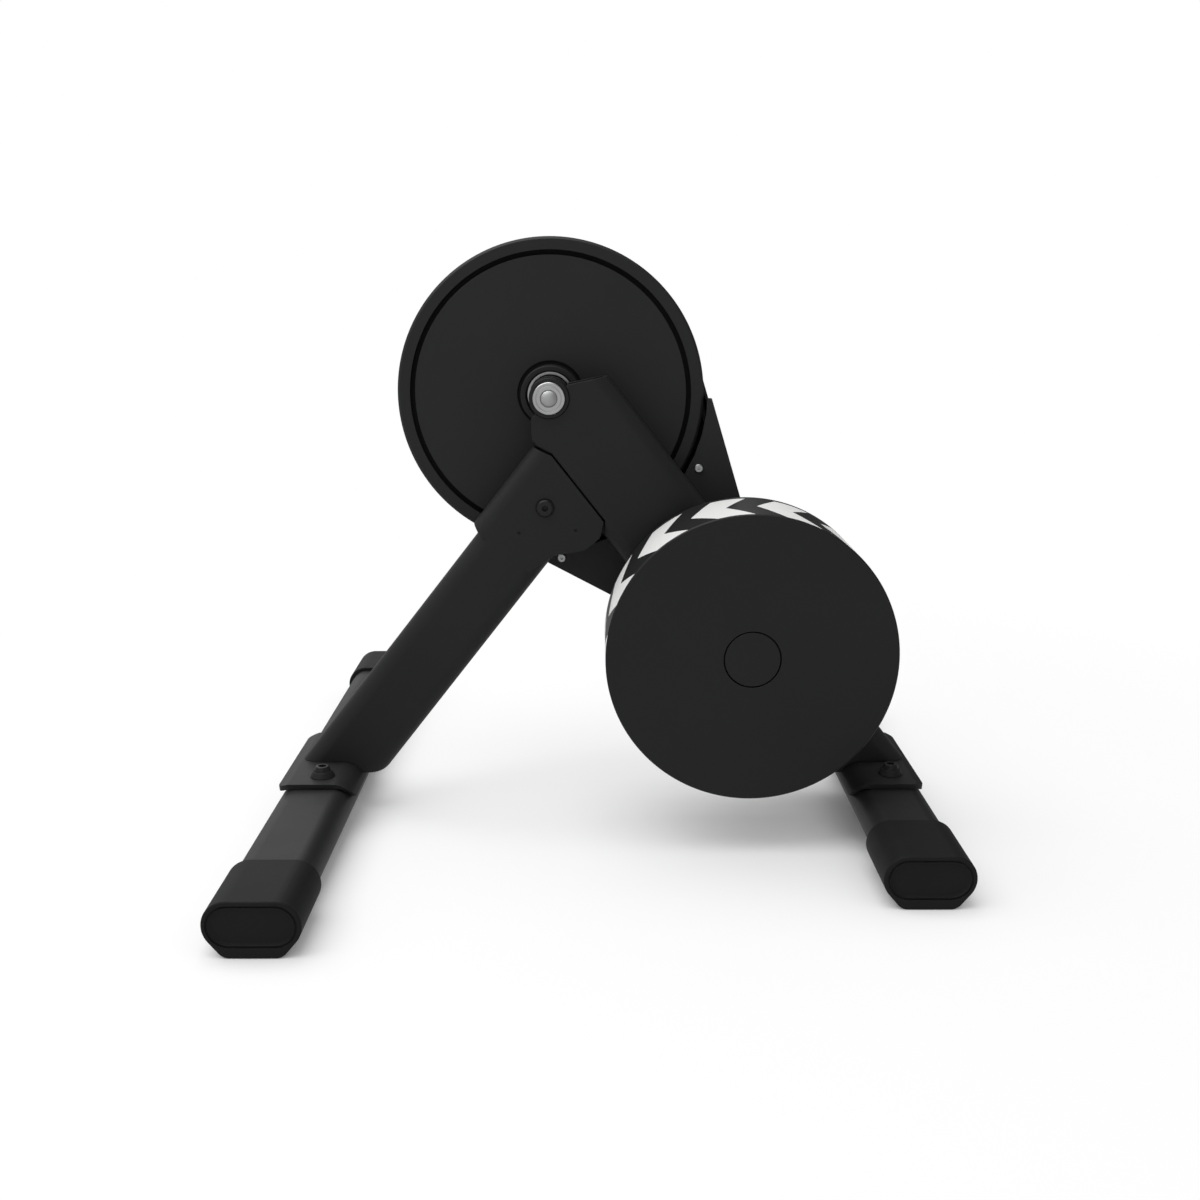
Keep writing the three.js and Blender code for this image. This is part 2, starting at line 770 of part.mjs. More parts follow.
// Axle: a hollow shaft with a silver end at each dropout, the collar that seats it in the beam and
// the bright ring between the beam and the pulley's boss.
const axleRightFace = axleLeftFace + dropoutSpacing;
const axleTubeFrom = axleLeftFace + axleEndLength + gap;
const axleTubeTo = axleRightFace - axleEndLength - gap;

function axleParts() {
  piece('axle', tube(axleBore, axleRadius, axleTubeFrom, axleTubeTo, axle, roundSteps), steel);
  const grooveInner = axleEndGroove - axleEndGrooveWidth;
  const plug = axleBore - gap;
  const leftStep = axleLeftFace + axleEndLength;
  const left = turned(
    [[0, axleLeftFace - axleDomeHeight / 2], [axleDome / 2, axleLeftFace - axleDomeHeight / 3],
      [axleDome, axleLeftFace], [grooveInner, axleLeftFace],
      [grooveInner, axleLeftFace + axleEndGrooveDepth], [axleEndGroove, axleLeftFace + axleEndGrooveDepth],
      [axleEndGroove, axleLeftFace], [axleEndRadius - axleEndChamfer, axleLeftFace],
      [axleEndRadius, axleLeftFace + axleEndChamfer], [axleEndRadius, leftStep], [plug, leftStep],
      [plug, leftStep + axlePlugLength], [0, leftStep + axlePlugLength]],
    roundSteps, axle,
  );
  piece('left_axle_end', left, silver);
  const rightStep = axleRightFace - axleEndLength;
  const right = turned(
    [[0, rightStep - axlePlugLength], [plug, rightStep - axlePlugLength], [plug, rightStep],
      [rightEndRadius, rightStep], [rightEndRadius, axleRightFace - axleEndChamfer],
      [rightEndRadius - axleEndChamfer, axleRightFace], [0, axleRightFace]],
    roundSteps, axle,
  );
  piece('right_axle_end', right, silver);
  const collarFrom = axleLeftFace + collarInset;
  const collarTo = frameFar;
  const wide = axleEndRadius + gap;
  const step = axleLeftFace + axleEndLength + gap;
  const collar = turned(
    [[wide, collarFrom], [collarRadius - axleEndChamfer, collarFrom],
      [collarRadius, collarFrom + axleEndChamfer], [collarRadius, collarTo],
      [axleRadius + gap, collarTo], [axleRadius + gap, step], [wide, step]],
    roundSteps, axle,
  );
  piece('axle_collar', collar, boltBlack);
  const ringInner = axleRadius + gap;
  const ring = tube(ringInner, lockRingRadius, frameFar + gap, hubFront - gap, axle, roundSteps);
  piece('axle_lock_ring', ring, silver);
}

// A sealed ball bearing as one ring.
function bearing(name, yFrom, centre, bore) {
  const yTo = yFrom + bearingWidth;
  piece(name, tube(bore, bearingRadius, yFrom, yTo, centre, roundSteps), steel);
}

// Drive pulley: a boss, a plain web, the dark groove, the front rim and the belt's crown behind it.
const hubFront = pulleyFaceY - hubFrontReach;
const crownFrom = pulleyFaceY + pulleyFlange;
const beltFrom = crownFrom + beltSideClearance;
const beltTo = beltFrom + beltWidth;
const crownTo = beltTo + beltSideClearance;
const hubRear = crownFrom + hubRearReach + ratchetLength;
const freehubFrom = hubRear + gap;

function drivePulley() {
  const webBack = pulleyFaceY + webThickness;
  const seat = bearingRadius + gap;
  const leftSeatEnd = hubFront + bearingWidth + 2 * gap;
  const rightSeatEnd = hubRear - bearingWidth - 2 * gap;
  const middle = (hubRadius + seat) / 2;
  const rim = turned(
    [[middle, pulleyFaceY], [grooveInner, pulleyFaceY], [grooveInner, pulleyFaceY + grooveDepth],
      [grooveOuter, pulleyFaceY + grooveDepth], [grooveOuter, pulleyFaceY],
      [pulleyRim - pulleyChamfer, pulleyFaceY], [pulleyRim, pulleyFaceY + pulleyChamfer],
      [pulleyRim, crownFrom], [crownRadius, crownFrom], [crownRadius, crownTo],
      [crownRadius - crownWall, crownTo], [crownRadius - crownWall, webBack], [middle, webBack]],
    discSteps, axle,
  );
  const hub = turned(
    [[seat, hubFront], [hubRadius - hubStep, hubFront], [hubRadius, hubFront + hubStep],
      [hubRadius, hubRear - ratchetLength], [ratchetRadius, hubRear - ratchetLength],
      [ratchetRadius, hubRear], [seat, hubRear], [seat, rightSeatEnd],
      [bearingShoulder, rightSeatEnd], [bearingShoulder, leftSeatEnd], [seat, leftSeatEnd]],
    roundSteps, axle,
  );
  const pulley = rim.add(hub);
  piece('drive_pulley', pulley, wheelBlack);
  bearing('left_hub_bearing', hubFront + gap, axle, axleRadius + gap);
  bearing('right_hub_bearing', hubRear - bearingWidth - gap, axle, axleRadius + gap);
}

// Freehub body with its splines.
function freehub() {
  const to = freehubFrom + freehubLength;
  const pitch = (2 * Math.PI) / freehubSplines;
  const points = [];
  for (let i = 0; i < freehubSplines; i += 1) {
    const start = i * pitch;
    points.push(...arc(axle.x, axle.z, freehubRadius, start, start + pitch * splineShare, 2));
    points.push(...arc(axle.x, axle.z, freehubRoot, start + pitch * splineShare, start + pitch, 1));
  }
  const flange = rod(freehubFlange, freehubFrom, freehubFrom + freehubFlangeLength, axle, roundSteps);
  const bore = rod(axleRadius + gap, freehubFrom - overrun, to + overrun, axle, roundSteps);
  const body = slab(shapeOf(points), freehubFrom, to).add(flange).subtract(bore);
  piece('freehub_body', body, steel);
}

// The outline of a loop round circles that are met in turn, counter-clockwise. Each circle is
// {x, z, radius, side}: side is 1 inside the loop and -1 outside it. grow widens the loop.
function loopOutline(circles, grow) {
  const runs = circles.map((a, i) => {
    const b = circles[(i + 1) % circles.length];
    const reach = Math.hypot(b.x - a.x, b.z - a.z);
    const swing = b.side * b.radius + grow - (a.side * a.radius + grow);
    return Math.atan2(b.z - a.z, b.x - a.x) - Math.asin(swing / reach);
  });
  const points = [];
  circles.forEach((circle, i) => {
    const comes = runs[(i + circles.length - 1) % circles.length];
    let turn = runs[i] - comes;
    while (turn * circle.side < 0) {
      turn += circle.side * 2 * Math.PI;
    }
    while (turn * circle.side > 2 * Math.PI) {
      turn -= circle.side * 2 * Math.PI;
    }
    const radius = circle.radius + circle.side * grow;
    const from = comes - circle.side * quarterTurn;
    const wholeSteps = radius > coverSmallRadius ? discSteps : capSteps;
    const steps = Math.max(2, Math.ceil((Math.abs(turn) / (2 * Math.PI)) * wholeSteps));
    points.push(...arc(circle.x, circle.z, radius, from, from + turn, steps));
  });
  return shapeOf(points);
}

// Belt cover: an outer shell behind the pulley and an inner plate between the pulley and the
// flywheel's shaft.
const coverCircles = [
  { ...axle, radius: coverRadius, side: 1 },
  { ...shaft, radius: coverSmallRadius, side: 1 },
];
const shellFrom = crownFrom + gap + gap;
const beamDirection = Math.atan2(beamLine.dz, beamLine.dx);
const innerPlateBack = innerPlateY + innerPlateThickness;

function plateScrewPlaces() {
  return plateScrewAngles.map((angle) => ({
    x: axle.x + plateScrewReach * Math.cos(angle),
    z: axle.z + plateScrewReach * Math.sin(angle),
  }));
}

function standoffPlaces() {
  return [-standoffSpread, standoffSpread].map((across) => {
    const [x, z] = at(beamLine, standoffReach, across);
    return { x, z };
  });
}

function outerCover() {
  const wallFrom = coverDepth - coverWall;
  const skin = slab(loopOutline(coverCircles, -shellInset), shellFrom, coverDepth);
  const inside = loopOutline(coverCircles, -shellInset - coverWall);
  const hollow = slab(inside, shellFrom - overrun, wallFrom);
  let shell = skin
    .subtract(hollow)
    .add(rod(coverHubRing, wallFrom, coverDepth + coverHubRingHeight, axle, capSteps))
    .subtract(rod(coverHubHole, wallFrom - overrun, coverDepth + overrun, axle, capSteps));
  for (const place of [...plateScrewPlaces(), ...standoffPlaces()]) {
    shell = shell.add(rod(coverBossRadius, innerPlateBack + gap, wallFrom + gap, place));
  }
  for (const place of plateScrewPlaces()) {
    shell = shell.subtract(rod(coverBossHole, innerPlateBack - overrun, wallFrom, place));
  }
  for (const place of standoffPlaces()) {
    shell = shell.subtract(rod(coverBossHole, innerPlateBack - overrun, coverDepth + overrun, place));
  }
  const pinHole = rod(idlerPinRadius + gap, wallFrom - overrun, coverDepth + overrun, idlerPlace());
  piece('outer_belt_cover', shell.subtract(pinHole), mouldedBlack);
}

function innerCover() {
  const outline = loopOutline(coverCircles, 0);
  const hollow = loopOutline(coverCircles, -coverWall);
  let plate = slab(outline, innerPlateY, shellFrom - gap).subtract(
    slab(hollow, innerPlateBack, shellFrom + overrun),
  );
  for (const place of standoffPlaces()) {
    plate = plate.add(rod(standoffRadius, frameFar + gap, innerPlateY + gap, place));
  }
  const middle = Math.atan2(shaft.z - axle.z, shaft.x - axle.x);
  const reach = 2 * centreDistance;
  const sector = shapeOf([
    [axle.x, axle.z],
    ...arc(axle.x, axle.z, reach, middle - innerPlateHalfAngle, middle + innerPlateHalfAngle, 2),
  ]);
  plate = plate
    .intersect(slab(sector, frameFar - overrun, shellFrom + overrun))
    .subtract(rod(innerPlateEdge, innerPlateY - overrun, shellFrom + overrun, axle, discSteps))
    .subtract(rod(shaftRadius + overrun, innerPlateY - overrun, shellFrom, shaft, roundSteps));
  for (const place of [...plateScrewPlaces(), ...standoffPlaces()]) {
    plate = plate.subtract(rod(coverBossHole, frameFar, shellFrom, place));
  }
  piece('inner_belt_cover', plate, mouldedBlack);
}

// Pan-head screws: way is 1 where the screw runs towards +Y.
function panScrew(name, place, face, way, length, material) {
  const top = face - way * (gap + screwHeadHeight);
  const under = face - way * gap;
  const profile = [
    [0, top], [screwHead - screwHeadHeight / 2, top], [screwHead, top + way * screwHeadHeight / 2],
    [screwHead, under], [screwShank, under], [screwShank, under + way * length], [0, under + way * length],
  ];
  const body = turned(way > 0 ? profile : profile.reverse(), smallSteps, place);
  const slotFloor = top + way * screwSlotDepth;
  const from = Math.min(top - way * overrun, slotFloor);
  const to = Math.max(top - way * overrun, slotFloor);
  piece(name, body.subtract(rod(screwSlot, from, to, place, hexSides)), material);
}

function coverScrews() {
  plateScrewPlaces().forEach((place, i) => {
    panScrew(`cover_screw_${i + 1}`, place, innerPlateY, 1, screwLength, silver);
  });
  standoffPlaces().forEach((place, i) => {
    const length = coverDepth - innerPlateY + gap;
    panScrew(`standoff_screw_${i + 1}`, place, coverDepth, -1, length, boltBlack);
  });
}

// Belt, small pulley and idler.
function idlerPlace() {
  const back = line(shaft.x, shaft.z, Math.atan2(axle.z - shaft.z, axle.x - shaft.x));
  const [x, z] = at(back, idlerBack, -idlerAcross);
  return { x, z };
}

function beltDrive() {
  const circles = [
    { ...axle, radius: crownRadius + beltGap, side: 1 },
    { ...idlerPlace(), radius: idlerRadius + beltGap + beltThickness, side: -1 },
    { ...shaft, radius: smallPulleyRadius + beltGap, side: 1 },
  ];
  const outer = slab(loopOutline(circles, beltThickness), beltFrom, beltTo);
  const inner = slab(loopOutline(circles, 0), beltFrom - overrun, beltTo + overrun);
  piece('belt', outer.subtract(inner), beltBlack);

  const bore = shaftRadius + gap;
  const flange = smallPulleyRadius + smallFlangeHeight;
  const small = turned(
    [[bore, crownFrom], [flange, crownFrom], [flange, crownFrom + smallFlangeThickness - gap],
      [smallPulleyRadius, crownFrom + smallFlangeThickness - gap],
      [smallPulleyRadius, crownTo], [flange, crownTo], [flange, crownTo + smallFlangeThickness],
      [bore, crownTo + smallFlangeThickness]],
    roundSteps, shaft,
  );
  piece('small_pulley', small, steel);

  const place = idlerPlace();
  const idler = tube(idlerPinRadius + gap, idlerRadius, crownFrom, crownTo, place, roundSteps);
  piece('idler_pulley', idler, steel);
  const headFrom = coverDepth + gap;
  const pin = turned(
    [[0, innerPlateBack + gap], [idlerPinRadius, innerPlateBack + gap], [idlerPinRadius, headFrom],
      [idlerPinHead, headFrom], [idlerPinHead, headFrom + idlerPinHeadHeight / 2],
      [idlerPinHead - idlerPinHeadHeight / 2, headFrom + idlerPinHeadHeight],
      [0, headFrom + idlerPinHeadHeight]],
    smallSteps, place,
  );
  piece('idler_pin', pin, boltBlack);
}

// Flywheel: a cup with a heavy rim, a recess for the nut under a flush round cap, and its shaft.
const recessFloor = flywheelFaceY + hubRecessDepth;
const flywheelBack = flywheelFaceY + flywheelDepth;
const hubBack = flywheelFaceY + flywheelHubDepth;
const housingFrom = frameNear - housingFront;
const housingTo = frameFar + housingRear;

function flywheelParts() {
  const bore = shaftRadius + gap;
  const inside = flywheelRadius - flywheelRim;
  const webBack = flywheelFaceY + flywheelWeb;
  const recess = hubCapRadius + gap;
  const cup = turned(
    [[0, flywheelFaceY], [flywheelRadius - flywheelChamfer, flywheelFaceY],
      [flywheelRadius, flywheelFaceY + flywheelChamfer], [flywheelRadius, flywheelBack],
      [inside, flywheelBack], [inside, webBack], [0, webBack]],
    discSteps, shaft,
  );
  const wheel = cup
    .add(rod(flywheelHub, webBack - gap, hubBack, shaft, roundSteps))
    .subtract(rod(recess, flywheelFaceY - overrun, recessFloor, shaft, capSteps))
    .subtract(rod(bore, recessFloor - gap, hubBack + overrun, shaft, roundSteps));
  piece('flywheel', wheel, wheelBlack);
  const capBack = flywheelFaceY + hubCapThickness;
  const cap = turned(
    [[0, flywheelFaceY], [hubCapRadius - hubCapChamfer, flywheelFaceY],
      [hubCapRadius, flywheelFaceY + hubCapChamfer], [hubCapRadius, capBack], [0, capBack]],
    capSteps, shaft,
  );
  piece('flywheel_cap', cap, wheelBlack);
  const nutTo = recessFloor - gap;
  const nutFrom = nutTo - shaftNutHeight;
  const nut = rod(shaftNutRadius, nutFrom, nutTo, shaft, hexSides).subtract(
    rod(bore, nutFrom - overrun, nutTo + overrun, shaft),
  );
  piece('flywheel_nut', nut, steel);
  const collarFrom = hubBack + gap;
  const shaftTo = crownTo + smallFlangeThickness;
  const rodProfile = [
    [0, nutFrom], [shaftRadius, nutFrom], [shaftRadius, collarFrom], [shaftCollar, collarFrom],
    [shaftCollar, collarFrom + shaftCollarLength], [shaftRadius, collarFrom + shaftCollarLength],
    [shaftRadius, shaftTo], [0, shaftTo],
  ];
  piece('flywheel_shaft', turned(rodProfile, roundSteps, shaft), steel);
}

function bearingHousing() {
  const seat = bearingRadius + gap;
  const frontSeatEnd = housingFrom + bearingWidth + 2 * gap;
  const rearSeatEnd = housingTo - bearingWidth - 2 * gap;
  const flangeTo = frameNear - gap;
  const flangeFrom = flangeTo - housingFlangeThickness;
  const housing = turned(
    [[seat, housingFrom], [housingRadius, housingFrom], [housingRadius, flangeFrom],
      [housingFlange, flangeFrom], [housingFlange, flangeTo], [housingRadius, flangeTo],
      [housingRadius, housingTo], [seat, housingTo], [seat, rearSeatEnd],
      [bearingShoulder, rearSeatEnd], [bearingShoulder, frontSeatEnd], [seat, frontSeatEnd]],
    roundSteps, shaft,
  );
  piece('bearing_housing', housing, steel);
  bearing('front_shaft_bearing', housingFrom + gap, shaft, shaftRadius + gap);
  bearing('rear_shaft_bearing', housingTo - bearingWidth - gap, shaft, shaftRadius + gap);
}

// A toothed disc of the brake's core.
function toothedDisc(yFrom, yTo) {
  const pitch = (2 * Math.PI) / coreTeeth;
  const points = [];
  for (let i = 0; i < coreTeeth; i += 1) {
    const start = i * pitch;
    const split = start + pitch * coreToothShare;
    points.push(...arc(shaft.x, shaft.z, coreRadius, start, split, 2));
    points.push(...arc(shaft.x, shaft.z, coreRadius - coreToothDepth, split, start + pitch, 1));
  }
  return slab(shapeOf(points), yFrom, yTo);
}

function brake() {
  const hubTo = frameNear - gap - housingFlangeThickness - gap;
  const coreFrom = housingFrom + shaftCollarLength;
  const frontFlange = toothedDisc(coreFrom, coreFrom + coreFlange);
  const rearFlange = toothedDisc(coreFrom + coreSpan - coreFlange, coreFrom + coreSpan);
  const core = frontFlange
    .add(rearFlange)
    .add(rod(coreHub, coreFrom, hubTo, shaft, roundSteps))
    .subtract(rod(housingRadius + gap, coreFrom - overrun, hubTo + overrun, shaft, roundSteps));
  piece('brake_core', core, steel);
  const coilFrom = coreFrom + coreFlange + gap;
  const coilTo = coreFrom + coreSpan - coreFlange - gap;
  piece('brake_coil', tube(coreHub + gap, coilRadius, coilFrom, coilTo, shaft, roundSteps), copper);
}

// A box with rounded corners on the beam's own axes, centred along and across the beam.
function beamBlock(along, across, length, width, radius, yFrom, yTo) {
  const corners = [[-1, -1], [1, -1], [1, 1], [-1, 1]].map(([a, b]) => [
    ...at(beamLine, along + (a * length) / 2, across + (b * width) / 2), radius,
  ]);
  return slab(rounded(corners), yFrom, yTo);
}

function speedSensor() {
  const along = shaftAlong + flywheelRadius - flywheelRim / 2;
  const from = flywheelBack + sensorGap;
  const body = beamBlock(along, 0, sensorLength, sensorWidth, sensorGap, from, frameNear - gap);
  piece('speed_sensor', body, mouldedBlack);
}

// Electronics behind the beam: the housing is open towards the beam, and holds the board on posts.
function electronics() {
  const centre = shaftAlong + electronicsBack + electronicsLength / 2;
  const from = frameFar + gap;
  const to = from + electronicsDepth;
  const boardFrom = to - electronicsWall - boardSetback;
  const boardTo = boardFrom + boardThickness;
  const innerLength = electronicsLength - 2 * electronicsWall;
  const innerWidth = electronicsWidth - 2 * electronicsWall;
  const spot = (a, b) => {
    const along = centre + (a * (electronicsLength - electronicsRadius)) / 2;
    const [x, z] = at(beamLine, along, (b * (electronicsWidth - electronicsRadius)) / 2);
    return { x, z };
  };
  const inlet = spot(0.55, 0);
  const lens = spot(-0.55, 0);
  const posts = [spot(-0.6, -0.6), spot(0.6, -0.6), spot(0.6, 0.6), spot(-0.6, 0.6)];
  const outerRadius = electronicsRadius;
  const innerRadius = electronicsRadius - electronicsWall;
  let housing = beamBlock(centre, 0, electronicsLength, electronicsWidth, outerRadius, from, to).subtract(
    beamBlock(centre, 0, innerLength, innerWidth, innerRadius, from - overrun, to - electronicsWall),
  );
  for (const post of posts) {
    housing = housing.add(rod(boardPost, boardTo + gap, to - gap, post));
  }
  housing = housing
    .subtract(rod(inletRadius + gap, from, to + overrun, inlet))
    .subtract(rod(lensRadius + gap, from, to + overrun, lens));
  piece('electronics_housing', housing, mouldedBlack);

  const boardLength = electronicsLength - 2 * boardMargin;
  const boardWidth = electronicsWidth - 2 * boardMargin;
  const board = beamBlock(centre, 0, boardLength, boardWidth, innerRadius, boardFrom, boardTo);
  piece('circuit_board', board, boardGreen);

  const inletTo = to + inletProud;
  const inletFloor = inletTo - inletDepth + electronicsWall;
  const barrel = turned(
    [[0, boardTo + gap], [inletRadius, boardTo + gap], [inletRadius, inletTo], [inletBore, inletTo],
      [inletBore, inletFloor], [inletPin, inletFloor], [inletPin, inletTo - inletProud / 2],
      [0, inletTo - inletProud / 2]],
    smallSteps, inlet,
  );
  piece('power_inlet', barrel, mouldedBlack);
  piece('status_lens', rod(lensRadius, boardTo + gap, to + lensProud, lens), lensClear);
}

const frontBolts = saddleBolts(frontBarX, frontBoltShift, frontBoltReach);
const rearBolts = saddleBolts(rearBarX, rearBoltShift, rearBoltReach);
footBar('front_foot_bar', frontBarX, frontFootLength, frontBolts);
footBar('rear_foot_bar', rearBarX, rearFootLength, rearBolts);
for (const [side, name] of [[-1, 'left'], [1, 'right']]) {
  footCap(`front_${name}_cap`, frontBarX, frontFootLength, side);
  footCap(`rear_${name}_cap`, rearBarX, rearFootLength, side);
}
saddlePlate('front_saddle', frontBarX, 1, frontLip, frontBolts);
saddlePlate('rear_saddle', rearBarX, -1, rearLip, rearBolts);
saddleFixings('front', frontBolts);
saddleFixings('rear', rearBolts);
mainBeam();
frontLeg();
legFixings();
axleParts();
drivePulley();
freehub();
outerCover();
innerCover();
coverScrews();
beltDrive();
flywheelParts();
bearingHousing();
brake();
speedSensor();
electronics();

export default trainer;
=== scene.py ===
"""A direct drive bike trainer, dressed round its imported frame.

A piece is made in millimetres and finished in metres. +Z is up, -Y is the flywheel's side and -X
points towards the bike's front wheel. An outline is drawn as the side view shows it, X to the right
and Z up, so a positive angle turns counter-clockwise there.
"""

import logging
import math
from dataclasses import dataclass, field
from enum import Enum
from functools import cache, cached_property
from typing import Callable, Mapping, Sequence

import bmesh
import bpy
from mathutils import Matrix, Vector


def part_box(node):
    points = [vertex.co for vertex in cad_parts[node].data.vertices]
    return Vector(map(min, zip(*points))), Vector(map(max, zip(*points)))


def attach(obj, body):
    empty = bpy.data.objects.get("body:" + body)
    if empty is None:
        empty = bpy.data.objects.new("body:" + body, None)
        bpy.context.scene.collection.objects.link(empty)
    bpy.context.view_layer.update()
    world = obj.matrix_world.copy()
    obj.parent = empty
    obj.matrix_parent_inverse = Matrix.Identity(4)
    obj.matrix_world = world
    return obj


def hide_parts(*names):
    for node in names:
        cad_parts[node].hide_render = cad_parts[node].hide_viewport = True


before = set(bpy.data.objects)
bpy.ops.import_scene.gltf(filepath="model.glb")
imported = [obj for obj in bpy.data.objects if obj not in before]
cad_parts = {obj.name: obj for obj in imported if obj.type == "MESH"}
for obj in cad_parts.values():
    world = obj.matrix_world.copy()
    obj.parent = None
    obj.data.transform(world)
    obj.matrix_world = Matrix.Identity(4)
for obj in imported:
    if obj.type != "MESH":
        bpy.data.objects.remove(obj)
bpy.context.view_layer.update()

LOG = logging.getLogger("trainer")

MM = 0.001
QUARTER = math.pi / 2
WELD = 0.002
FLAT_ANGLE = math.radians(0.4)
HARD_ANGLE = math.radians(50)
SHARP_ANGLE = math.radians(48)
ARC_STEP = math.radians(5)
CORNER_STEPS = 6
LARGE_STEPS = 180
MIDDLE_STEPS = 96
SMALL_STEPS = 64
SCREW_STEPS = 48
HOLE_STEPS = 32
HEX = 6
GAP = 0.3
TOUCH = 0.1
OVERRUN = 10.0

Place = tuple[float, float]
Point = tuple[float, float, float]
Profile = Sequence[Place]
Color = tuple[float, float, float]


# Shapes


class Plane(Enum):
    """The world axes that a form's own three axes lie along."""

    SIDE = ((1, 0, 0), (0, 0, 1), (0, -1, 0))
    TOP = ((1, 0, 0), (0, 1, 0), (0, 0, 1))
    END = ((0, 1, 0), (0, 0, 1), (1, 0, 0))
    SPINDLE = ((1, 0, 0), (0, 0, -1), (0, 1, 0))

    def matrix(self, x: float = 0.0, y: float = 0.0, z: float = 0.0) -> Matrix:
        """Returns the matrix that lays a form in this plane, with its origin at a place."""
        turn = Matrix(self.value).transposed().to_4x4()
        return Matrix.Translation((x, y, z)) @ turn

    def about(self, centre: Place) -> Matrix:
        """Returns the matrix that stands a form on an axis through a centre."""
        x, other = centre
        return self.matrix(x, other) if self is Plane.TOP else self.matrix(x, 0, other)


class Cut(Enum):
    """What a tool does to the form that it meets."""

    AWAY = "DIFFERENCE"
    KEEP = "INTERSECT"


@dataclass(frozen=True)
class Corner:
    """A corner of an outline, rounded by the radius soft."""

    u: float
    v: float
    soft: float = 0.0


@dataclass(frozen=True)
class Turn:
    """An arc that carries an outline's last point round a centre."""

    u: float
    v: float
    angle: float


Path = Sequence[Corner | Turn]


def oval(width: float, height: float, u: float = 0.0, v: float = 0.0) -> Path:
    """Returns a flat oval.

    Args:
        width: Its length over both round ends.
        height: Its height, which is the diameter of its round ends.
        u: The first coordinate of its centre.
        v: The second coordinate of its centre.

    Returns:
        The outline, counter-clockwise.
    """
    reach = (width - height) / 2
    return [
        Corner(u + reach, v - height / 2),
        Turn(u + reach, v, math.pi),
        Corner(u - reach, v + height / 2),
        Turn(u - reach, v, math.pi),
    ]


